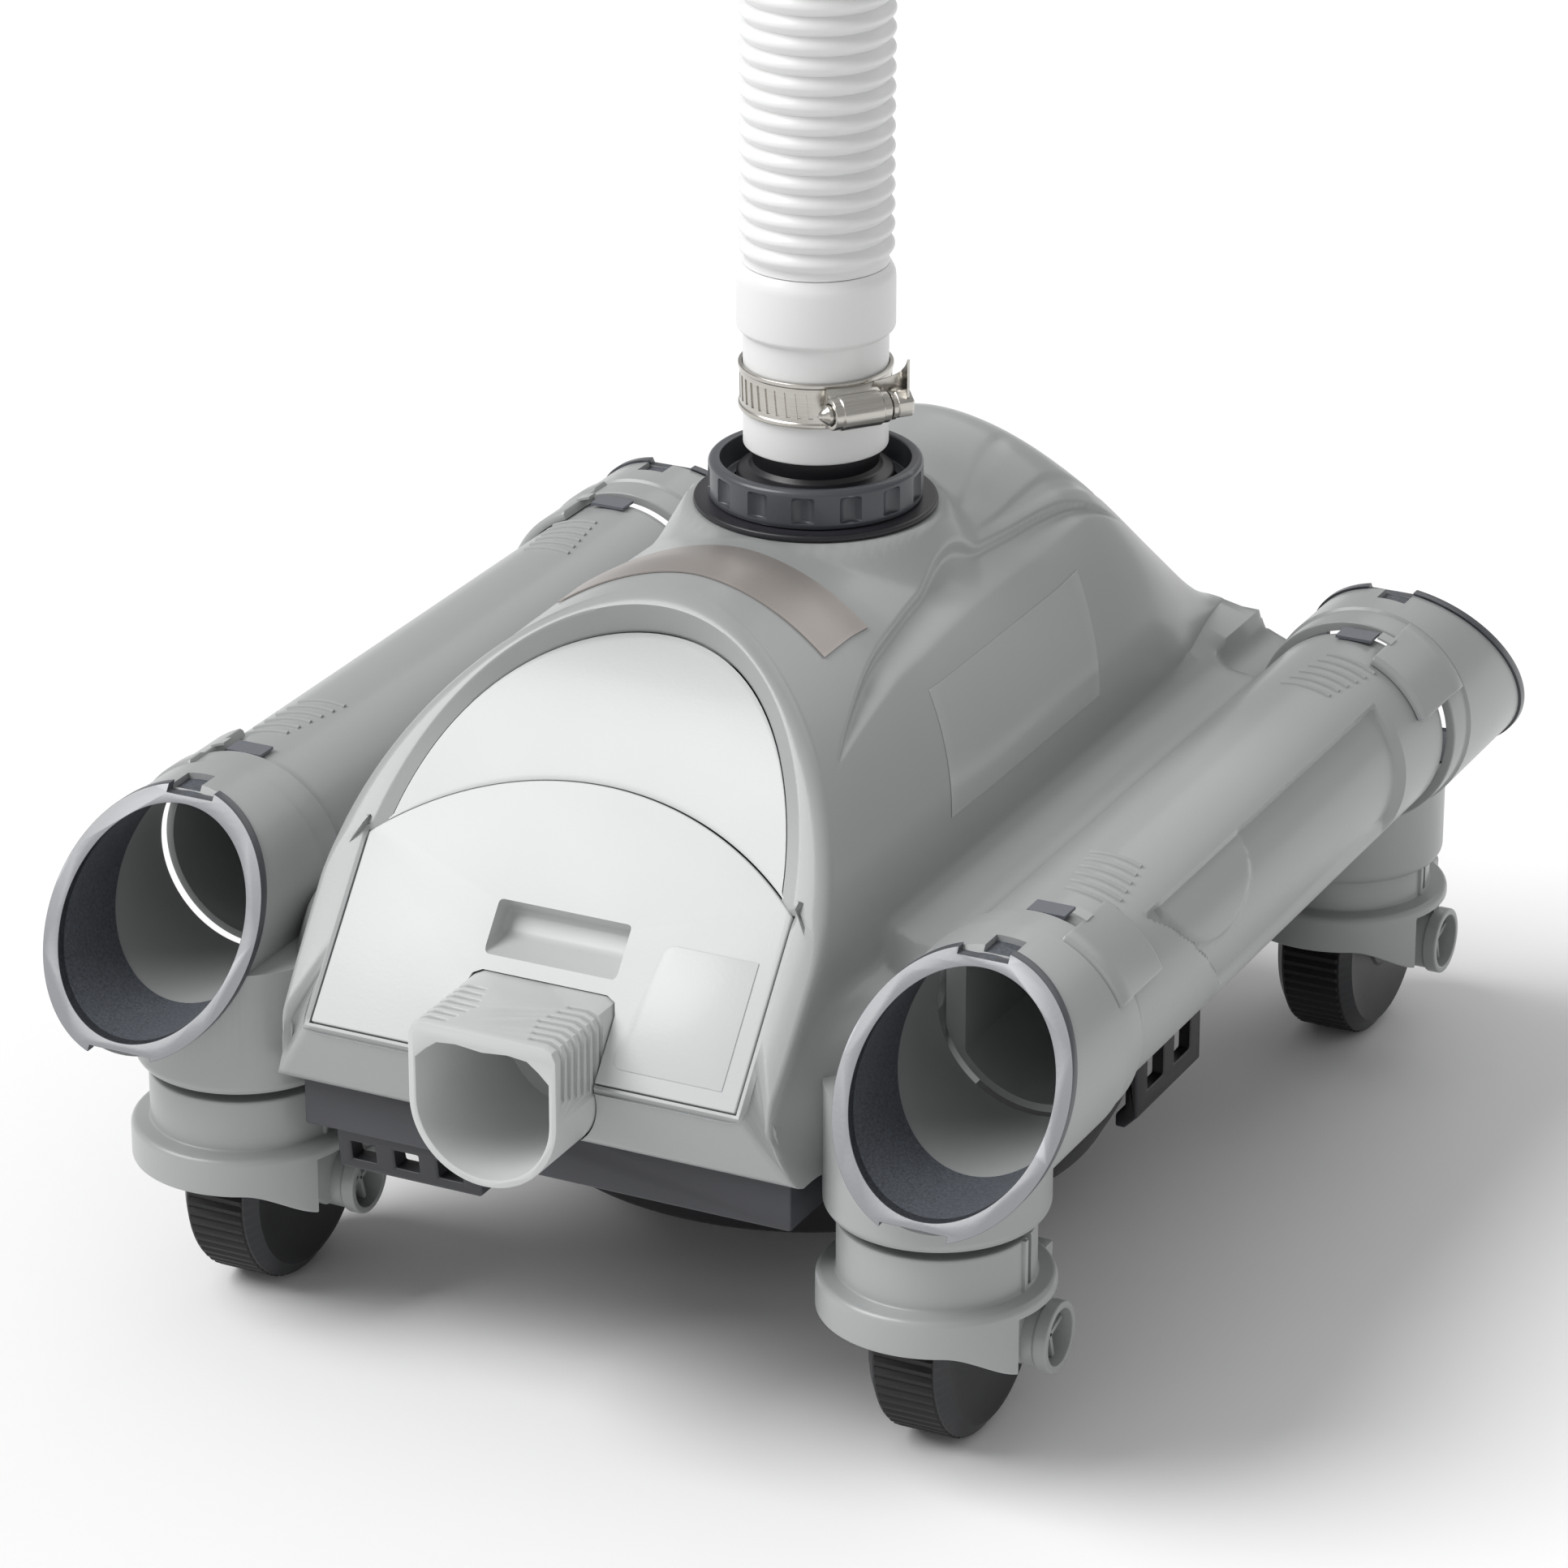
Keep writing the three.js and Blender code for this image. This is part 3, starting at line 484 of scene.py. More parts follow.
def leanOver(piece):
    for vertex in piece.data.vertices:
        vertex.co.x += leanAt(vertex.co.z / mm) * mm
    return piece


def corrugatedHose():
    profile = [(18.9, runStart), (21.4, runStart)]
    steps = 10
    rings = int((hose["run"] - 5) / hose["pitch"])
    for i in range(rings * steps + 1):
        wave = 0.5 - 0.5 * math.cos(2 * math.pi * i / steps)
        radius = hose["valley"] + (hose["crest"] - hose["valley"]) * wave ** 0.62
        profile.append((radius, runStart + 2 + hose["pitch"] * i / steps))
    top = runStart + hose["run"]
    profile += [(21.4, top), (18.9, top)]
    return leanOver(spinPiece("hoseRun", profile, steps=64))


hoseRun = fit(corrugatedHose(), "hose", "hose", "hose", "hose_run", angle=60)
lowerCuff = spinPiece("hoseLowerCuff", roundedProfile([
    (18.9, 234.4), (21.25, 234.4, 0.6), (21.25, 269.2, 0.6), (23.2, 270.6, 0.8), (23.2, 287, 1.6),
    (21.4, 290), (18.9, 290),
]), steps=128)
fit(lowerCuff, "hose", "hose", "hose", "hose_lower_cuff")
cuffTop = runStart + hose["run"] + 0.3
upperCuff = spinPiece("hoseUpperCuff", roundedProfile([
    (0, cuffTop), (21.6, cuffTop), (23.2, cuffTop + 3, 1), (23.2, cuffTop + 20, 0.8),
    (21.25, cuffTop + 21.4, 0.6), (21.25, cuffTop + 50, 0.5), (18.9, cuffTop + 50, 0.4),
    (18.9, cuffTop + 8), (0, cuffTop + 8),
]), centre=(hose["leans"][-1], 0, 0), steps=96, closed=False)
fit(upperCuff, "hose", "hose", "hose", "hose_upper_cuff")


# ---- worm clamp ----
clamp = {"height": 252.8, "half": 6.7, "inside": 21.55, "slots": 42, "turn": -38, "wormOut": 27.75}
turn = math.radians(clamp["turn"])
wormAxis = Vector((-math.sin(turn), math.cos(turn), 0))
wormSpot = Vector((clamp["wormOut"] * math.cos(turn), clamp["wormOut"] * math.sin(turn), clamp["height"]))
outward = Vector((math.cos(turn), math.sin(turn), 0))


def clampBand():
    low, high, inside = clamp["height"] - clamp["half"], clamp["height"] + clamp["half"], clamp["inside"]
    band = spinPiece("clampBand", roundedProfile([
        (inside, low), (inside + 1.1, low, 0.3), (inside + 1.1, low + 1.2, 0.2), (inside + 0.7, low + 1.6),
        (inside + 0.7, high - 1.6), (inside + 1.1, high - 1.2, 0.2), (inside + 1.1, high, 0.3),
        (inside, high),
    ]), steps=168)
    cutters = []
    for i in range(clamp["slots"]):
        angle = math.radians(i * 360 / clamp["slots"])
        if abs((math.degrees(angle) - clamp["turn"] + 180) % 360 - 180) < 24:
            continue
        deselectAll()
        bpy.ops.mesh.primitive_cube_add(
            size=1, location=((inside + 1) * math.cos(angle) * mm, (inside + 1) * math.sin(angle) * mm + hoseY,
                              clamp["height"] * mm),
            rotation=(0.1, 0, angle), scale=(1.4 * mm, 1.3 * mm, 7.6 * mm),
        )
        cutters.append(bpy.context.object)
    tool = joinPieces("slots", cutters)
    return combine(band, tool)


fit(clampBand(), "steel", "hose", "steel", "clamp_band")


def wormHousing():
    barrel = spinPiece("clampHousing", roundedProfile([
        (3.4, -9), (4.7, -9, 0.5), (4.7, -6.6, 0.3), (5.1, -6.2, 0.3), (5.1, 6.2, 0.3), (4.7, 6.6, 0.3),
        (4.7, 9, 0.5), (3.4, 9),
    ]), centre=wormSpot, axis=wormAxis, steps=64)
    side = wormAxis
    corner = wormSpot - outward * 5.4 - side * 8
    width = Vector((0, 0, 1)) * 6.0
    outline = [corner - width, corner + width, corner + width + outward * 4.4 - Vector((0, 0, 1.5)),
               corner - width + outward * 4.4 + Vector((0, 0, 1.5))]
    foot = pulledPiece("foot", outline, side * 16)
    softenEdges(foot, 0.5)
    tail = []
    for k in range(9):
        t = k / 8
        tail.append(wormSpot - outward * (4.4 - 8 * t ** 2) + side * (7 + 8 * math.sin(2 * t))
                    + Vector((0, 0, -5 + 8 * t ** 2)))
    strip = startPiece("tail", tail, [(i, i + 1) for i in range(8)])
    openEdit()
    bpy.ops.mesh.extrude_edges_move(TRANSFORM_OT_translate={"value": (0, 0, 11.5 * mm)})
    closeEdit()
    modify(strip, "SOLIDIFY", thickness=0.7 * mm, offset=0)
    return joinPieces("clampHousing", [barrel, foot, strip])


fit(wormHousing(), "steel", "hose", "steel", "clamp_housing")


def wormScrew():
    shaft = []
    for i in range(49):
        shaft.append((3.1 if i % 4 < 2 else 2.7, -8.6 + i * 17 / 48))
    profile = [(0, -13.2), (1.6, -11.6), (3.0, -10.2), (3.0, -9.4)] + shaft + [
        (3.1, 9.2), (3.1, 10.6), (0, 10.6)]
    worm = spinPiece("clampScrew", profile, centre=wormSpot, axis=wormAxis, steps=48, closed=False)
    head = spinPiece("head", [(0, 11), (3.9, 11), (4.5, 11.6), (4.5, 15.6), (3.9, 16.4), (0, 16.4)],
                     centre=wormSpot, axis=wormAxis, steps=6, closed=False)
    softenEdges(head, 0.3)
    collar = spinPiece("collar", roundedProfile([(0, 9.6), (4.2, 9.6, 0.3), (4.2, 11.1, 0.3), (0, 11.1)]),
                       centre=wormSpot, axis=wormAxis, steps=48, closed=False)
    return joinPieces("clampScrew", [worm, head, collar])


fit(wormScrew(), "steel", "clamp_screw", "steel", "clamp_screw", angle=25)

# ---- swivel ----
swivel = {"flange": 36, "flangeTop": 218.1, "nut": 31.5, "nutTop": 230, "mouth": 28, "grooves": 14}
flange = spinPiece("hoseFlange", roundedProfile([
    (30, 216.3), (35.6, 216.3), (swivel["flange"], 216.8, 0.4), (swivel["flange"] - 0.3, swivel["flangeTop"], 0.8),
    (30, swivel["flangeTop"]),
]), steps=128)
fit(flange, "black", "body", "black", "hose_flange")


def gripNut():
    base, top, radius = swivel["flangeTop"] + 0.3, swivel["nutTop"], swivel["nut"]
    nut = spinPiece("collarNut", roundedProfile([
        (24.4, base), (radius - 0.4, base, 0.4), (radius, base + 1.2, 0.4), (radius, top - 1, 1.2),
        (radius - 1, top, 0.8), (swivel["mouth"], top, 0.6), (swivel["mouth"] - 0.5, 222.4, 0.5), (24.4, 222.4),
    ]), steps=168)
    cutters = []
    for i in range(swivel["grooves"]):
        angle = 2 * math.pi * (i + 0.25) / swivel["grooves"]
        centre = ((radius + 2.3) * math.cos(angle), (radius + 2.3) * math.sin(angle), 0)
        cutters.append(spinPiece("groove", roundedProfile([
            (0, base + 1.8), (4.2, base + 1.8, 0.6), (4.2, top - 1.9, 1.2), (0, top - 1.9)]),
            centre=centre, steps=24, closed=False))
    combine(nut, joinPieces("grooves", cutters))
    return nut


fit(gripNut(), "slate", "nut", "slate", "collar_nut")
spigot = spinPiece("swivelSpigot", roundedProfile([
    (15.5, 196), (20, 196), (20, 211.6), (23.2, 211.6, 0.4), (23.2, 226.4, 1.0), (19.6, 227.6, 0.5),
    (18.6, 229), (18.6, 262), (15.5, 262),
]), steps=96)
fit(spigot, "black", "hose", "black", "swivel_spigot")
print("hose and swivel made")


# ---- side tubes ----
tube = {"x": 125.4, "z": 124.8, "radius": 30, "bore": 27.2, "end": 115.7, "flat": 97.3, "boreFlat": 103.3}
panelCut = {"top": 50, "low": -38, "front": -89, "back": 80, "depth": 2.6, "padY": -50, "padReach": 30}
ribs = {"count": 6, "from": 92, "to": 122, "first": -97, "pitch": 5.2}


def ease(value, low, high):
    t = min(max((value - low) / (high - low), 0), 1)
    return t * t * (3 - 2 * t)


def ring(name, profile, x, z, steps=96, **extra):
    return spinPiece(name, profile, centre=(x, 0, z), axis="Y", steps=steps, **extra)


# part of a ring between two angles, seen along the tube
def ringPart(name, profile, fromDeg, toDeg, steps=16):
    angle = math.radians(fromDeg)
    points = [(tube["x"] + r * math.cos(angle), y, tube["z"] + r * math.sin(angle)) for r, y in profile]
    count = len(points)
    piece = startPiece(name, points, [(i, (i + 1) % count) for i in range(count)])
    openEdit()
    bpy.ops.mesh.edge_face_add()
    bpy.ops.mesh.spin(
        steps=steps, angle=math.radians(toDeg - fromDeg), axis=(0, -1, 0),
        center=(tube["x"] * mm, hoseY, tube["z"] * mm),
    )
    bpy.ops.mesh.select_all(action="SELECT")
    bpy.ops.mesh.remove_doubles(threshold=1e-6)
    bpy.ops.mesh.normals_make_consistent(inside=False)
    closeEdit()
    return piece


def sideRelief(angle, y):
    slant = (panelCut["top"] - angle) * 0.5
    inside = ease(panelCut["top"] - angle, 0, 2.6) * ease(angle - panelCut["low"], 0, 12)
    inside *= ease(y, panelCut["front"] + slant, panelCut["front"] + slant + 1.6)
    inside *= 1 - ease(y, panelCut["back"] + 4 * math.cos(math.radians(angle)) - 2.5,
                       panelCut["back"] + 4 * math.cos(math.radians(angle)))
    across = (angle - panelCut["top"]) / 44
    along = (y - panelCut["padY"]) / panelCut["padReach"]
    pad = 1 - ease(math.hypot(across, along), 0.93, 1.0)
    return -inside * (panelCut["depth"] - 1.3 * pad)


def sideTube():
    stations = [(tube["radius"], -tube["end"] + 231.4 * i / 154) for i in range(155)]
    profile = [(tube["bore"], -tube["end"])] + [(tube["radius"] - 0.5, -tube["end"])] + stations[1:-1] + [
        (tube["radius"] - 0.5, tube["end"]), (tube["bore"], tube["end"]), (tube["bore"], 0)]
    piece = ring("sideTubeRight", profile, tube["x"], tube["z"], steps=144)
    for vertex in piece.data.vertices:
        x, y, z = vertex.co.x / mm - tube["x"], (vertex.co.y - hoseY) / mm, vertex.co.z / mm - tube["z"]
        radius, angle = math.hypot(x, z), math.degrees(math.atan2(z, x))
        outer = radius > tube["bore"] + 1
        if outer:
            scale = (radius + sideRelief(angle, y)) / radius
            x, z = x * scale, z * scale
        x = max(x, (tube["flat"] if outer else tube["boreFlat"]) - tube["x"])
        vertex.co.x, vertex.co.z = (x + tube["x"]) * mm, (z + tube["z"]) * mm
    parts = [piece]
    for end in (-1, 1):
        for i in range(ribs["count"]):
            y = ribs["first"] + i * ribs["pitch"]
            low, high = sorted((y * -end, (y + 2) * -end))
            mid = (low + high) / 2
            swing = 1.6 * i
            parts.append(ringPart(
                "rib", [(29.6, low), (30.5, low + 0.3), (30.75, mid), (30.5, high - 0.3), (29.6, high)],
                ribs["from"] + swing, ribs["to"] + swing, 10))
    return joinPieces("sideTubeRight", parts)


tubeRight = sideTube()
tubeLeft = mirroredCopy(tubeRight, "sideTubeLeft", flipX=True)
fit(tubeRight, "shell", "body", "shell", "side_tube_right", angle=24)
fit(tubeLeft, "shell", "body", "shell", "side_tube_left", angle=24)
print("side tubes made")

# ---- elbows and their liners ----
elbow = {"start": 118.4, "radius": 33.2, "bore": 29.6, "mouthY": 172.4, "slope": 0.679}
liner = {"radius": 34, "bore": 29.2, "sleeve": 31.3, "depth": 31, "flange": 3.2}
mouthNormal = Vector((0, -1, elbow["slope"])).normalized()


# cuts away what lies in front of (or behind) the mouth plane moved back by back
def miter(piece, back, keepFront=False):
    makeActive(piece)
    openEdit()
    bpy.ops.mesh.bisect(
        plane_co=(tube["x"] * mm, (-elbow["mouthY"] + back) * mm + hoseY, tube["z"] * mm),
        plane_no=mouthNormal, use_fill=True, clear_outer=not keepFront, clear_inner=keepFront,
    )
    closeEdit()
    return piece


def boxTool(low, high):
    deselectAll()
    middle = [(a + b) / 2 for a, b in zip(low, high)]
    bpy.ops.mesh.primitive_cube_add(
        size=1, location=(middle[0] * mm, middle[1] * mm + hoseY, middle[2] * mm),
        scale=[(b - a) * mm for a, b in zip(low, high)],
    )
    bpy.ops.object.transform_apply(location=True, rotation=True, scale=True)
    return bpy.context.object


def frontElbow():
    start, radius = -elbow["start"], elbow["radius"]
    piece = ring("elbow", roundedProfile([
        (elbow["bore"], start), (radius - 0.8, start, 0.6), (radius - 0.8, start - 10.6), (radius, start - 11.4),
        (radius, -230), (elbow["bore"], -230),
    ]), tube["x"], tube["z"], steps=128)
    miter(piece, liner["flange"] + 0.3)
    combine(piece, boxTool((123, -147.5, 150), (132, -139, 165)))
    latch = ringPart("latch", [(30.2, -99), (32.2, -99), (33.2, -100.2), (33.2, -120), (33.9, -122), (33.9, -128),
                               (32.3, -129), (30.2, -129)], 68, 112, 24)
    softenEdges(latch, 0.45, angle=30)
    combine(latch, boxTool((121, -117, 155.8), (134, -108.5, 165)))
    arrow = ringPart("arrow", [(32.9, -115), (33.6, -115), (33.6, -110.5), (32.9, -110.5)], 74, 82, 4)
    return joinPieces("elbow", [piece, latch, arrow])


def frontLiner():
    sleeve = ring("sleeve", [(liner["bore"], -100), (liner["sleeve"], -100), (liner["sleeve"], -230),
                             (liner["bore"], -230)], tube["x"], tube["z"], steps=128)
    miter(sleeve, 0.2)
    miter(sleeve, liner["depth"], keepFront=True)
    return sleeve


# the liner ring at the mouth, with a dark plate under the latch window: painted shade that makes the window look deep
def linerRingAndWindowShade():
    face = ring("linerRing", [(liner["bore"], -100), (liner["radius"], -100), (liner["radius"], -230),
                              (liner["bore"], -230)], tube["x"], tube["z"], steps=128)
    miter(face, 0)
    miter(face, liner["flange"], keepFront=True)
    for side, width in ((1, 7.5), (-1, 10)):
        low, high = sorted((side * 31.2, side * 40))
        combine(face, boxTool((tube["x"] - width - 1, -220, tube["z"] + low),
                              (tube["x"] + width - 1, -120, tube["z"] + high)))
    softenEdges(face, 0.75, segments=3, angle=40)
    # painted shade: a dark plate over the pale tube under the latch window, standing in for the window's shadow
    pad = boxTool((121.6, -116.4, 155.2), (133, -109, 156.1))
    return joinPieces("linerRing", [face, pad])


# the pale flat of the ring, inside a dark edge
def paleFace(piece):
    makeActive(piece)
    piece.data.materials.append(paint["linerFace"])
    normal = mouthNormal
    for polygon in piece.data.polygons:
        turned = Vector((0, polygon.normal.y, polygon.normal.z))
        flat = Vector((0, -abs(turned.y), turned.z)).dot(normal)
        if flat > 0.995:
            polygon.material_index = 1


elbowPiece, linerPiece, ringPiece = frontElbow(), frontLiner(), linerRingAndWindowShade()
for place in corners:
    flips = {"flipX": place.endswith("left"), "flipY": place.startswith("rear")}
    fit(mirroredCopy(elbowPiece, f"elbow_{place}.shown", **flips), "shell", "body", "shell",
        f"elbow_{place}", angle=30)
    fit(mirroredCopy(linerPiece, f"sleeve_{place}", **flips), "sleeve", "body", "slate", angle=30)
    # each ring copy carries its dark plate of painted shade under the latch window
    face = mirroredCopy(ringPiece, f"linerRing_{place}", **flips)
    fit(face, "slate", "body", "slate", f"mouth_liner_{place}", angle=30)
    paleFace(face)
for piece in (elbowPiece, linerPiece, ringPiece):
    bpy.data.objects.remove(piece)
print("elbows made")

# ---- casters ----
caster = {"trail": 19.6, "wheel": 34, "half": 12.5, "offset": -3.5, "ribs": 64, "barrel": 27.9, "foot": 33.6,
          "boss": 10.4, "bossEnd": 29.2}
socketBottom = {"front": 78.1, "rear": 69.0}


def casterSocket(place):
    swivelAt = jointPlace[f"caster_swivel_{place}"] / mm
    side = 1 if swivelAt.x > 0 else -1
    low = socketBottom[place.split("_")[0]]
    collar = spinPiece(f"casterSocket_{place}", roundedProfile([
        (28.7, low + 7), (28.7, low, 0.6), (30.2, low, 0.5), (31.7, low + 2, 1.6), (31.7, 116), (8.3, 116),
        (8.3, low + 7),
    ]), centre=(swivelAt.x, swivelAt.y - hoseY / mm, 0), steps=96)
    room = ring("room", [(0, -230), (32.9, -230), (32.9, 230), (0, 230)], side * tube["x"], tube["z"],
                steps=96, closed=False)
    return combine(collar, room)


for place in corners:
    fit(casterSocket(place), "shell", "body", "shell", f"caster_socket_{place}")


# everything of a caster is made about its swivel axis, then copied to each corner
def aboutAxis(points):
    return [(x, y, z) for x, y, z in points]


def casterYoke():
    trail = caster["trail"]
    cup = spinPiece("yoke", roundedProfile([
        (0, 74.6), (caster["barrel"], 74.6, 1.0), (caster["barrel"], 58.9, 0.8), (32.6, 58.4, 0.8),
        (caster["foot"], 57.2, 0.8), (caster["foot"], 47, 0.8), (30.8, 47, 0.5), (30.8, 55.5),
        (25, 56.5), (25, 71.6), (0, 71.6),
    ]), steps=128, closed=False)
    for vertex in cup.data.vertices:
        x, y, z = vertex.co.x / mm, (vertex.co.y - hoseY) / mm, vertex.co.z / mm
        if z < 56 and math.hypot(x, y) > 28:
            turn = math.degrees(math.atan2(x, -y))
            drop = ease(turn, 28, 75) * (1 - ease(turn, 120, 160))
            vertex.co.z -= 9.5 * drop * ease(56 - z, 0, 8) * mm
    arm = pulledPiece("arm", [(13.6, trail + 10, 31), (13.6, trail + 13, 57), (13.6, trail - 33, 57),
                              (13.6, trail - 24, 38.5), (13.6, trail - 10, 28)], (7.5, 0, 0))
    softenEdges(arm, 1.2)
    innerArm = pulledPiece("innerArm", [(-24, trail - 9, 26), (-24, trail + 9, 26), (-24, trail + 9, 54),
                                        (-24, trail - 22, 54)], (4.8, 0, 0))
    softenEdges(innerArm, 1.0)
    boss = spinPiece("boss", roundedProfile([
        (0, 12.6), (9.6, 12.6, 0.5), (9.6, 24.5), (caster["boss"], 25.3, 0.3), (caster["boss"], caster["bossEnd"], 0.7),
        (8.3, caster["bossEnd"], 0.4), (8.3, 22), (0, 22),
    ]), centre=(0, trail, caster["wheel"]), axis="X", steps=64, closed=False)
    innerBoss = spinPiece("innerBoss", roundedProfile([(0, -24.4), (8.5, -24.4, 0.6), (8.5, -18.6, 0.4), (0, -18.6)]),
                          centre=(0, trail, caster["wheel"]), axis="X", steps=48, closed=False)
    stem = spinPiece("stem", [(0, 74), (8, 74), (8, 90), (0, 90)], steps=48, closed=False)
    parts = [cup, arm, innerArm, boss, innerBoss]
    for part in parts[:3]:
        room = spinPiece("room", [(0, -17.8), (36.6, -17.8), (36.6, 10.8), (0, 10.8)],
                         centre=(0, trail, caster["wheel"]), axis="X", steps=64, closed=False)
        combine(part, room)
    combine(cup, boxTool((24.8, -1.2, 59.4), (30, 1.4, 80)))
    combine(cup, boxTool((25.4, -13, 30), (40, 40, 55.2)))
    lip = pulledPiece("lip", [(25.2, -3.8, 58), (28.6, -3.8, 58), (28.7, -2, 58), (25.2, -2, 58)], (0, 0, 16.4))
    softenEdges(lip, 0.3)
    return joinPieces("yoke", parts + [stem, lip])


def casterWheel():
    half = caster["half"]
    side = [(3.1, 11.2), (7.5, 11.2), (8, 12.2), (11, 12.2), (12, 11.6), (24, 11.9), (29.5, 12.5), (33.4, 9.6),
            (33.4, 9.0)]
    profile = [(r, -x) for r, x in side] + [(34, -8.6), (34, 8.6)] + side[::-1]
    wheel = spinPiece("wheel", profile, centre=(caster["offset"], caster["trail"], caster["wheel"]), axis="X",
                      steps=caster["ribs"] * 3)
    for vertex in wheel.data.vertices:
        y, z = (vertex.co.y - hoseY) / mm - caster["trail"], vertex.co.z / mm - caster["wheel"]
        if abs(vertex.co.x / mm - caster["offset"]) < 8.8 and math.hypot(y, z) > 33.8:
            turn = round(math.degrees(math.atan2(z, y)) / (360 / (caster["ribs"] * 3)))
            if turn % 3 == 0:
                vertex.co.y -= y * 0.034 * mm
                vertex.co.z -= z * 0.034 * mm
    return wheel


def axlePin():
    trail = caster["trail"]
    shaft = spinPiece("pin", roundedProfile([(0, -21.8), (2.95, -21.8, 0.5), (2.95, 22.3), (5.2, 22.3, 0.3),
                                             (5.2, 24.2, 0.4), (0, 24.2)]),
                      centre=(0, trail, caster["wheel"]), axis="X", steps=32, closed=False)
    bars = []
    for turn in (0.3, 0.3 + math.pi / 2):
        across = Vector((0, math.cos(turn), math.sin(turn)))
        thick = Vector((0, -math.sin(turn), math.cos(turn)))
        middle = Vector((22.3, trail, caster["wheel"]))
        outline = [middle + across * a + thick * t for a, t in ((-7.9, -0.8), (7.9, -0.8), (7.9, 0.8), (-7.9, 0.8))]
        bars.append(softenEdges(pulledPiece("bar", outline, (3.9, 0, 0)), 0.3))
    return joinPieces("pin", [shaft, *bars])


def discSides(piece, centreX):
    piece.data.materials.append(paint["disc"])
    for polygon in piece.data.polygons:
        if abs(polygon.center.x / mm - centreX) > 9.1:
            polygon.material_index = 1


yokeModel, wheelModel, pinModel = casterYoke(), casterWheel(), axlePin()
for place in corners:
    swivelAt = jointPlace[f"caster_swivel_{place}"] / mm
    shift = (swivelAt.x, swivelAt.y - hoseY / mm, 0)
    body = f"caster_{place}"
    fit(shiftedCopy(yokeModel, f"yoke_{place}", shift), "shell", body, "shell", f"caster_yoke_{place}", angle=28)
    fit(shiftedCopy(pinModel, f"pin_{place}", shift), "shell", body, "shell", f"axle_pin_{place}")
    wheel = shiftedCopy(wheelModel, f"wheel_{place}", shift)
    fit(wheel, "tread", f"wheel_{place}", "tyre", f"caster_wheel_{place}", angle=20)
    discSides(wheel, swivelAt.x + caster["offset"])
for piece in (yokeModel, wheelModel, pinModel):
    bpy.data.objects.remove(piece)
print("casters made")

# ---- body shell ----
body = {"half": 78, "spring": 143, "power": 1.8, "bottom": 88.2, "deck": 136, "corner": 130,
        "deckHalf": 96.9, "cornerHalf": 91.4, "wall": 2.4, "seat": 216.0, "seatRadius": 38.5}
groove = {"top": 54.5, "drop": 16.5, "low": 45.5, "lowDrop": 7.5, "depth": 2.8}
leaves = ({"from": (24, 62), "to": (78, 69), "half": 3.4}, {"from": (28, 57), "to": (104, 51), "half": 3.0})
crestHeights = [(-100, 219.5), (-88, 220), (-66, 220.5), (-44, 217.4), (40, 217.4), (58, 220.5), (72, 222.3),
                (85.6, 218), (101, 207), (113.5, 194.5), (126.4, 180.6), (137.4, 165), (152, 144), (180, 143)]
faceFoot, faceRun, faceRise = Vector((-184.8, 111.7)), 0.6213, 0.7835


def along(table, value):
    for (x0, y0), (x1, y1) in zip(table, table[1:]):
        if value <= x1:
            t = max((value - x0) / (x1 - x0), 0)
            return y0 + (y1 - y0) * t
    return table[-1][1]


def rounder(table, value, spread=7):
    return sum(along(table, value + spread * k / 3) * (4 - abs(k)) for k in range(-3, 4)) / 16


def onFace(x, s, w=0.0):
    return (x, faceFoot.x + faceRun * s - faceRise * w, faceFoot.y + faceRise * s + faceRun * w)


def rimLean(s):
    return -0.9e-5 * max(s - 62, 0) ** 3


def panelLean(s):
    return -1.0 - 3.3e-5 * max(s - 62, 0) ** 3


def upFace(z):
    s = (z - faceFoot.y) / faceRise
    for _ in range(6):
        s = (z - faceFoot.y - faceRun * rimLean(s)) / faceRise
    return s


def domeSection(theta, y):
    top = rounder(crestHeights, y)
    half = body["half"] * (1 - 0.14 * ease(y, 80, 158))
    across = abs(math.cos(theta)) ** (2 / body["power"])
    x = half * math.copysign(across, math.cos(theta))
    z = body["spring"] + (top - body["spring"]) * abs(math.sin(theta)) ** (2 / body["power"])
    out = math.hypot(x, y)
    seat = body["seat"] - max(out - body["seatRadius"], 0) * 1.75
    if out < body["seatRadius"] + 26:
        lift = seat - z
        z += max(lift, 0) if abs(lift) > 3 else (lift + 3) ** 2 / 12
        if out < body["seatRadius"]:
            z = body["seat"]
    return x, z


def legSection(t, y):
    width = body["deckHalf"] - (body["deckHalf"] - body["cornerHalf"]) * ease(abs(y), 115.6, 118.2)
    width -= 8.5 * ease(abs(y), 150, 178)
    deck = body["deck"] - (body["deck"] - body["corner"]) * ease(abs(y), 113, 121)
    path = [(width, body["bottom"]), (width, deck - 4), (width - 0.8, deck - 1.2), (width - 3, deck),
            (86, deck + 0.9), (82, deck + 2.4), (79.4, deck + 4.6), (78, max(deck + 7.5, body["spring"]))]
    lengths = [math.dist(a, b) for a, b in zip(path, path[1:])]
    left = t * sum(lengths)
    for (a, b), length in zip(zip(path, path[1:]), lengths):
        if left <= length + 1e-6:
            k = left / length
            return a[0] + (b[0] - a[0]) * k, a[1] + (b[1] - a[1]) * k
        left -= length
    return path[-1]


frontLine = [(88, -178.4), (98, -182.6), (104, -185.2), (108, -185.9), (111.7, -184.8)]
frontWidth = [(88, 82.6), (96, 79.2), (106, 76.4), (122, 77.4), (143, 78)]
legSteps, slopeSteps = 26, 42
archDegrees = [i * 1.7 for i in range(20)] + [34 + i * 0.5 for i in range(48)] + [58 + i for i in range(33)]
columns = [("leg", i / legSteps) for i in range(legSteps)] + [("arch", math.radians(d)) for d in archDegrees]


def frontPoint(z, x):
    if z < faceFoot.y:
        return (x, along(frontLine, z), z)
    return onFace(x, upFace(z), rimLean(upFace(z)))


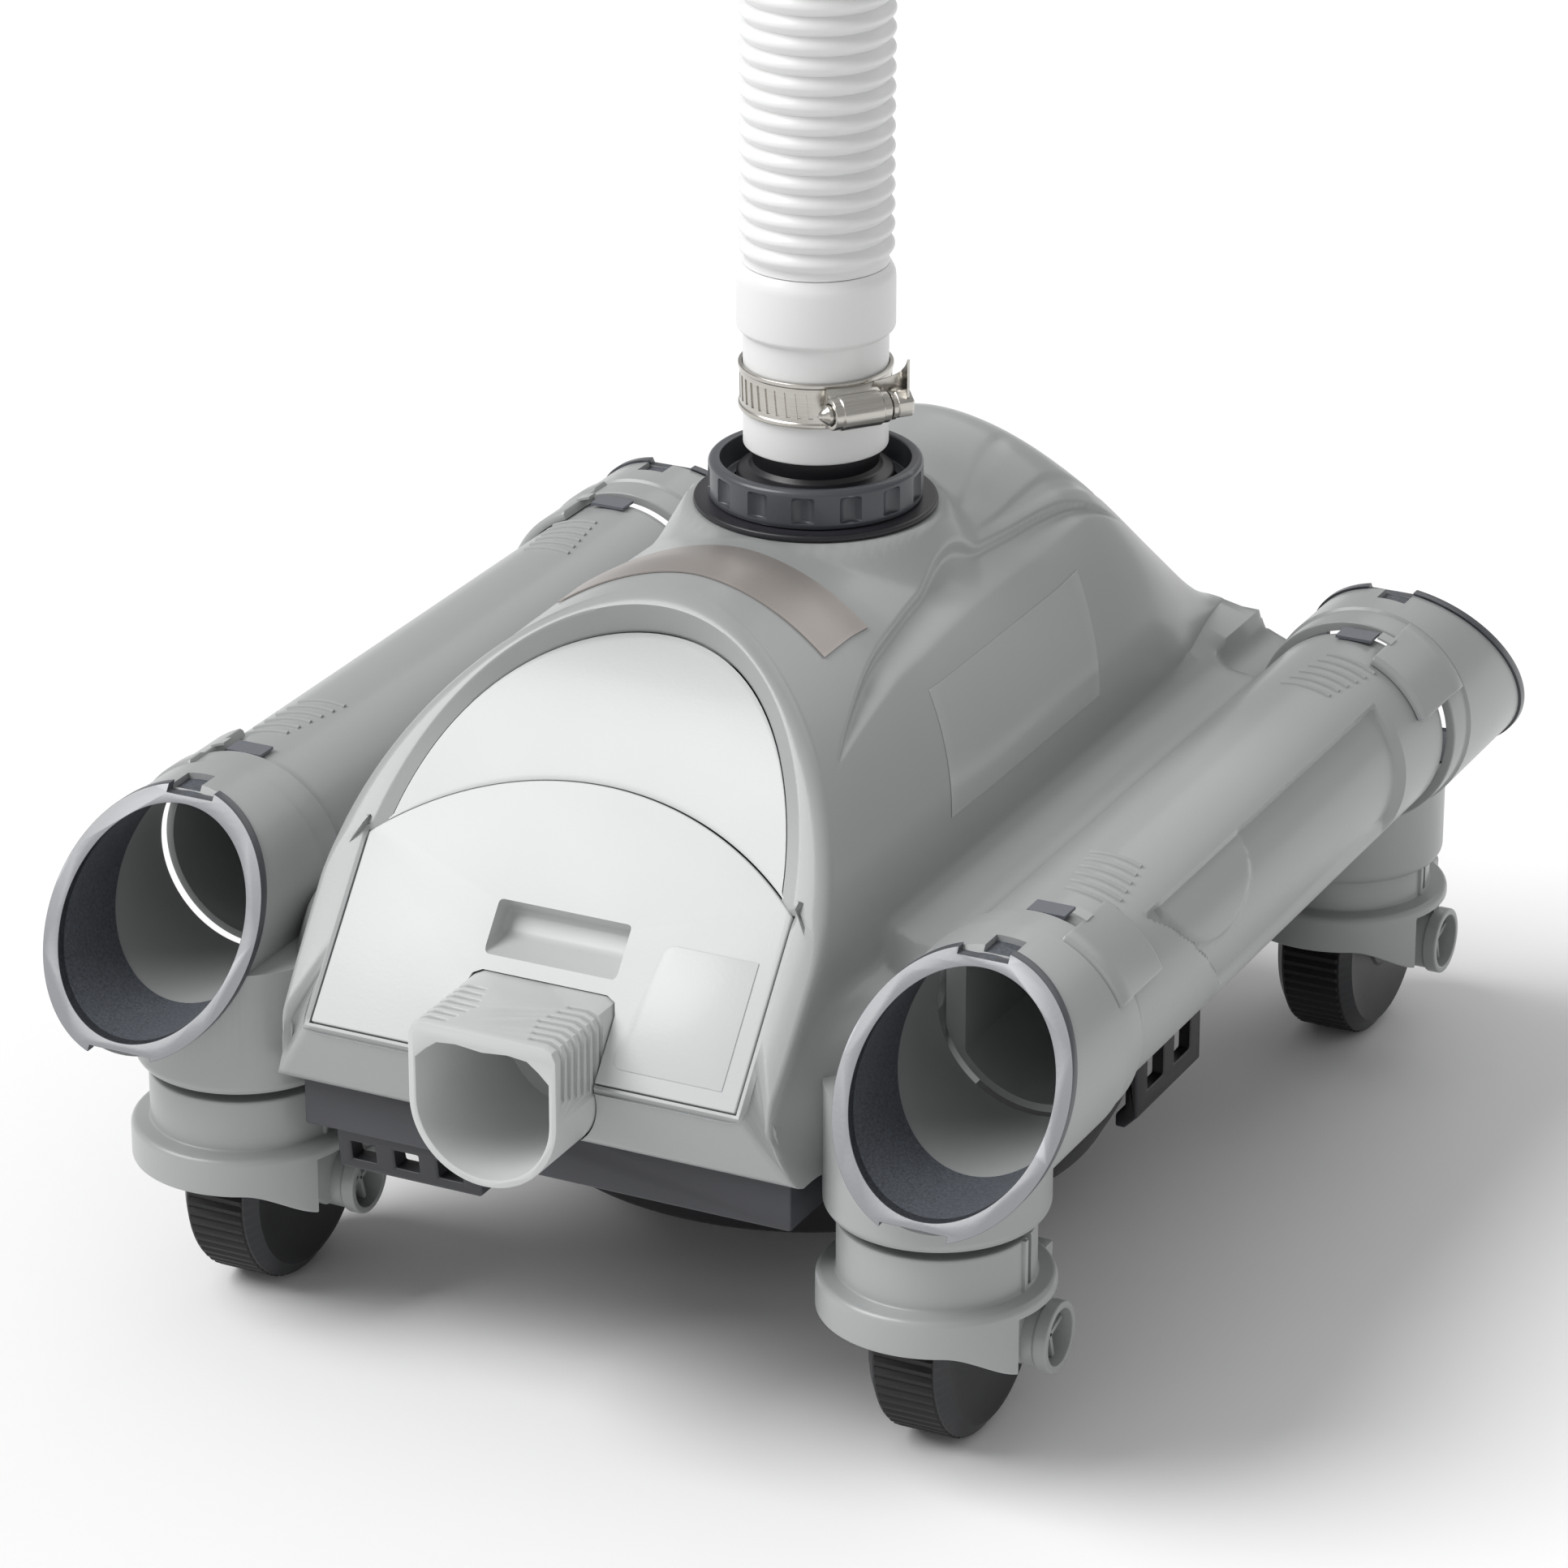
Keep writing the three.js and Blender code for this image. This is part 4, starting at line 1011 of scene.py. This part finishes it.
def crestPoint(kind, value):
    if kind == "leg":
        z = body["bottom"] + (body["spring"] - body["bottom"]) * value
        return frontPoint(z, along(frontWidth, z))
    x, z = domeSection(value, -92)
    return frontPoint(z, x)


# rows of the rim from inside the opening to the crest, for one column of the right half
def rimRows(kind, value):
    crest = Vector(crestPoint(kind, value))
    if kind == "leg":
        s = -0.5 + 57.2 * value
        inner, bevel = (66.9, s, -0.2), (68.0, -1.4 + 59.8 * value, 0.0)
    else:
        inner = (62.6 * math.cos(value), max(45 + 86.6 * math.sin(value), 57.6), 0)
        inner = (inner[0], inner[1], panelLean(inner[1]))
        if inner[1] <= 57.7:
            inner = (66.9 - 4.3 * ease(value, 0, 0.14), 57.1, -1.0)
        bevel = (67.5 * math.cos(value), 40 + 97 * math.sin(value), 0)
        bevel = (max(bevel[0], 0), max(bevel[1], 58.8), rimLean(bevel[1]))
    deep = Vector(onFace(inner[0], inner[1], inner[2] - 9))
    lip = Vector(onFace(*inner))
    edge = Vector(onFace(*bevel))
    inward = (edge - crest).normalized()
    reach = (crest - edge).length
    return [deep, lip + (deep - lip) * 0.08, lip, lip.lerp(edge, 0.1), lip.lerp(edge, 0.9), edge,
            edge + inward * -min(0.5, reach * 0.1), crest + inward * min(4.6, reach * 0.7),
            crest + inward * min(2.5, reach * 0.4) + Vector((0, 0.4, 0)),
            crest + inward * 0.9 + Vector((0, 1.5, 0)), crest + Vector((0, 3.4, 0))]


def surfacePoint(kind, value, y, start):
    if kind == "arch":
        x, z = domeSection(value, y)
    else:
        x, z = legSection(value, y)
        fold = ease(y - start, 2, 34)
        front = crestPoint(kind, value)
        if y < 0:
            x, z = front[0] + (x - front[0]) * fold, front[2] + (z - front[2]) * fold
    rear = along([(148, 150), (154, 141), (166, 118), (176, body["bottom"])], y)
    if y > 148:
        z = min(z, rear)
    return Vector((x, y, z))


def domeRelief(theta, y):
    degrees = math.degrees(theta)
    degrees = min(degrees, 180 - degrees)
    top = groove["top"] - groove["drop"] * ((y - 5) / (111 if y < 5 else 105)) ** 2
    low = groove["low"] - groove["lowDrop"] * ((y - 15) / 113) ** 2
    sink = 0.0
    if top > low + 0.2:
        q = (degrees - low) / (top - low)
        sink += groove["depth"] * ease(q, -0.1, 0.8) * (1 - ease(q, 0.82, 1.08)) * min((top - low) / 5, 1)
    for leaf in leaves:
        (y0, d0), (y1, d1) = leaf["from"], leaf["to"]
        t = (y - y0) / (y1 - y0)
        if 0 < t < 1:
            half = leaf["half"] * math.sin(math.pi * t) ** 0.6 * (0.5 + 0.5 * t)
            sink += 0.8 * (1 - ease(abs(degrees - (d0 + (d1 - d0) * t)), half - 1.4, half + 0.8))
    return sink


def shellColumns():
    rows = []
    for kind, value in columns:
        rim = rimRows(kind, value)
        start = rim[-1].y
        line = list(rim)
        for k in range(1, slopeSteps + 1):
            line.append(surfacePoint(kind, value, start + (-60 - start) * k / slopeSteps, start))
        for k in range(1, 71):
            line.append(surfacePoint(kind, value, -60 + 3 * k, start))
        for k in range(1, 14):
            line.append(surfacePoint(kind, value, 150 + 2 * k, start))
        rows.append(line)
    sunk = [list(line) for line in rows]
    for i, (kind, value) in enumerate(columns[:-1]):
        if kind != "arch":
            continue
        for k in range(14, len(rows[i]) - 14):
            sink = domeRelief(value, rows[i][k].y)
            if sink > 0.01:
                side = (rows[i + 1][k] - rows[i - 1][k]).cross(rows[i][k + 1] - rows[i][k - 1]).normalized()
                sunk[i][k] = rows[i][k] - side * sink * math.copysign(1, side.z)
    return sunk


def bodyShell():
    half = shellColumns()
    depth = len(half[0])
    points, faces = [], []
    for line in half:
        points += line
    for line in half[-2::-1]:
        points += [Vector((-p.x, p.y, p.z)) for p in line]
    count = 2 * len(half) - 1
    for i in range(count - 1):
        for k in range(depth - 1):
            a, b = i * depth + k, (i + 1) * depth + k
            faces.append((a, b, b + 1, a + 1))
    # apron under the lid: the rim's rows carried across between the two legs
    rimCount, across = 11, 56
    base = len(points)
    first, last = half[0], [Vector((-p.x, p.y, p.z)) for p in half[0]]
    for i in range(1, across):
        t = i / across
        for k in range(rimCount):
            points.append(first[k].lerp(last[k], t))

    def apron(i, k):
        if i == 0:
            return k
        if i == across:
            return (count - 1) * depth + k
        return base + (i - 1) * rimCount + k

    for i in range(across):
        for k in range(rimCount - 1):
            faces.append((apron(i, k), apron(i, k + 1), apron(i + 1, k + 1), apron(i + 1, k)))
    shell = startPiece("upperShell", points, faces=faces)
    openEdit()
    bpy.ops.mesh.remove_doubles(threshold=1e-5)
    bpy.ops.mesh.normals_make_consistent(inside=False)
    closeEdit()
    modify(shell, "SOLIDIFY", thickness=body["wall"] * mm, offset=-1)
    return shell


nozzle = {"half": 23, "top": 130.5, "bottom": 84.3, "mouth": -206.3, "root": -150.5, "wall": 2.4, "ribs": 7}


def nozzleOutline(inset, y, topDrop=0.0):
    radius = nozzle["half"] - inset
    springZ = nozzle["bottom"] + nozzle["half"]
    points = arcPoints(0, springZ, radius, 180, 360, 40)
    top = nozzle["top"] - inset - topDrop
    points += [(radius, top - 4), (radius - 1.2, top - 1.2), (radius - 4, top)]
    points += [(4 - radius, top), (1.2 - radius, top - 1.2), (-radius, top - 4)]
    return [(x, y, z) for x, z in points]


shell = bodyShell()
combine(shell, pulledPiece("room", nozzleOutline(-0.5, -230), (0, 82, 0)), solver="MANIFOLD")
neck = spinPiece("room", [(0, 190), (24.2, 190), (24.2, 240), (0, 240)], steps=64, closed=False)
combine(shell, neck, solver="MANIFOLD")
fit(shell, "shell", "body", "shell", "upper_shell", angle=62)
print("shell made", len(shell.data.polygons))


# a thin skin lying on the dome between two angles and two places along it
def domeSkin(name, fromDeg, toDeg, front, back, lift, thick, crown=0.0, slant=0.0):
    points, faces = [], []
    wide, long = 60, 16
    for i in range(wide + 1):
        theta = math.radians(fromDeg + (toDeg - fromDeg) * i / wide)
        bow = crown * (2 * i / wide - 1) ** 2 + slant * i / wide
        for k in range(long + 1):
            y = front + (back - front) * k / long + bow
            x, z = domeSection(theta, y)
            middle = Vector((0, 0, body["spring"] + 20))
            away = (Vector((x, 0, z)) - middle).normalized()
            points.append((x + away.x * lift, y, z + away.z * lift))
    for i in range(wide):
        for k in range(long):
            a = i * (long + 1) + k
            faces.append((a, a + long + 1, a + long + 2, a + 1))
    skin = startPiece(name, points, faces=faces)
    openEdit()
    bpy.ops.mesh.normals_make_consistent(inside=False)
    closeEdit()
    if skin.data.polygons[wide * long // 2].normal.z < 0:
        openEdit()
        bpy.ops.mesh.flip_normals()
        closeEdit()
    return modify(skin, "SOLIDIFY", thickness=thick * mm, offset=-1)


fit(domeSkin("badge.shown", 54, 124, -79, -51, 0.55, 0.4, crown=-4), "badge", "body", "badge", "badge")
fit(domeSkin("blankLabel", 11.5, 37, -68, 35, 0.22, 0.15, slant=17), "label", "body", "shell")


def frontPanel():
    points, faces = [], []
    wide, high = 64, 22
    radius = (lid["half"] ** 2 + (lid["crown"] - lid["side"]) ** 2) / (2 * (lid["crown"] - lid["side"]))
    for i in range(wide + 1):
        x = 62.1 * math.sin(math.pi / 2 * (2 * i / wide - 1))
        low = lid["crown"] - radius + math.sqrt((radius + 0.5) ** 2 - x * x)
        top = max(45 + 86.1 * math.sqrt(max(1 - (x / 62.3) ** 2, 0)), low + 0.6)
        for k in range(high + 1):
            s = low + (top - low) * k / high
            points.append(onFace(x, s, panelLean(s) + 0.1))
    for i in range(wide):
        for k in range(high):
            a = i * (high + 1) + k
            faces.append((a, a + high + 1, a + high + 2, a + 1))
    panel = startPiece("frontPanel", points, faces=faces)
    openEdit()
    bpy.ops.mesh.normals_make_consistent(inside=False)
    closeEdit()
    if panel.data.polygons[0].normal.y > 0:
        openEdit()
        bpy.ops.mesh.flip_normals()
        closeEdit()
    modify(panel, "SOLIDIFY", thickness=2.4 * mm, offset=-1)
    return softenEdges(panel, 0.45, angle=60)


lid = {"half": 66.4, "side": 56.6, "crown": 82.4, "thick": 3.2, "recessHalf": 21, "recessLow": 28.2,
       "recessTop": 45.6, "patch": 0.4}
fit(frontPanel(), "panel", "body", "panel", "front_panel")


def facePlate(name, outline, w0, w1):
    push = Vector(onFace(0, 0, w1)) - Vector(onFace(0, 0, w0))
    return pulledPiece(name, [onFace(x, s, w0) for x, s in outline], push)


def filterLid():
    rise = lid["crown"] - lid["side"]
    radius = (lid["half"] ** 2 + rise ** 2) / (2 * rise)
    half = math.degrees(math.asin(lid["half"] / radius))
    crown = arcPoints(0, lid["crown"] - radius, radius, 90 - half, 90 + half, 64)
    plate = facePlate("filterLid", [(-lid["half"], 0), (lid["half"], 0), *crown], -lid["thick"], 0)
    softenEdges(plate, 0.6, segments=3)
    backing = facePlate("backing", [(-24, 25.4), (24, 25.4), (24, 48.5), (-24, 48.5)], -10.5, -1)
    combine(plate, backing, "UNION")
    side = lid["recessHalf"]
    section = [(lid["recessLow"], 0.8), (lid["recessTop"], 0.8), (lid["recessTop"] - 0.8, -8.2), (37.5, -7.6)]
    tool = pulledPiece("recess", [onFace(-side, s, w) for s, w in section], (2 * side, 0, 0))
    softenEdges(tool, 1.6, segments=4, angle=20)
    combine(plate, tool)
    combine(plate, pulledPiece("room", nozzleOutline(-0.5, -230), (0, 110, 0)))
    patch = facePlate("patch", [*arcPoints(36, 38, 4, 180, 90, 6), (61, 42), (61, 5), *arcPoints(30, 8, 3, 270, 180, 4)],
                      -0.5, lid["patch"])
    softenEdges(patch, 0.3)
    return joinPieces("filterLid", [plate, patch])


fit(filterLid(), "panel", "lid", "panel", "filter_lid", angle=25)


def frontNozzle():
    outer = pulledPiece("frontNozzle", nozzleOutline(0, nozzle["mouth"]), (0, nozzle["root"] - nozzle["mouth"], 0))
    radius = nozzle["half"] - nozzle["wall"]
    springZ = nozzle["bottom"] + nozzle["half"]
    top = nozzle["top"]
    inside = arcPoints(0, springZ, radius, 180, 360, 40) + [
        (radius, top - 11), (17.5, top - 8), (14, top - 5.4), (8, top - 4.8), (0, top - 5.6), (-8, top - 4.8),
        (-14, top - 5.4), (-17.5, top - 8), (-radius, top - 11)]
    bore = pulledPiece("bore", [(x, nozzle["mouth"] - 3, z) for x, z in inside], (0, 54, 0))
    combine(outer, bore)
    softenEdges(outer, 0.55, segments=2, angle=50)
    for side in (-1, 1):
        for i in range(nozzle["ribs"]):
            y = nozzle["mouth"] + 3.4 + i * 3.7
            reach, foot = 13.5 - 1.1 * abs(i - 3), 112 - 0.9 * i
            corner = [(24, foot), (22, foot + 2), (21.4, foot + 4), (21.4, top - 5), (17.5, top - 1.5),
                      (24 - reach, top - 1.5), (22 - reach, top + 1), (24, top + 1)]
            combine(outer, pulledPiece("gap", [(side * x, y, z) for x, z in corner], (0, 1.7, 0)))
    return softenEdges(outer, 0.4, angle=50)


fit(frontNozzle(), "panel", "body", "panel", "front_nozzle")
print("front made")

# ---- underside ----
skirt = spinPiece("suctionSkirt", roundedProfile([
    (38.5, 71.7), (97, 71.7, 2), (97, 36, 6), (88, 20, 3), (82, 20, 2), (92, 37, 3), (92, 67), (42.5, 67),
    (42.5, 58), (38.5, 58),
]), steps=128)
fit(skirt, "black", "body", "black", "suction_skirt")
for node, finish in (("base_pan", "base"), ("clip_bracket_right", "black"), ("clip_bracket_left", "black"),
                     ("front_bracket", "base")):
    fit(softenEdges(mergedCopy(node, f"{node}.shown"), 0.8), finish, "body", "base", node)
print("underside made")


for node in ("turbine_rotor", "drive_pinion", "idler_gear", "diverter_gear", "diverter_disc",
             "jet_nozzle_right", "jet_nozzle_left", "filter_screen"):
    repaint(node, "works")
for node in ("inlet_manifold", "gear_plate", "jet_block"):
    repaint(node, "base")
repaint("turbine_shaft", "steel")
repaint("spigot_seal", "seal")
repaint("ballast_weight", "iron")

print("done")
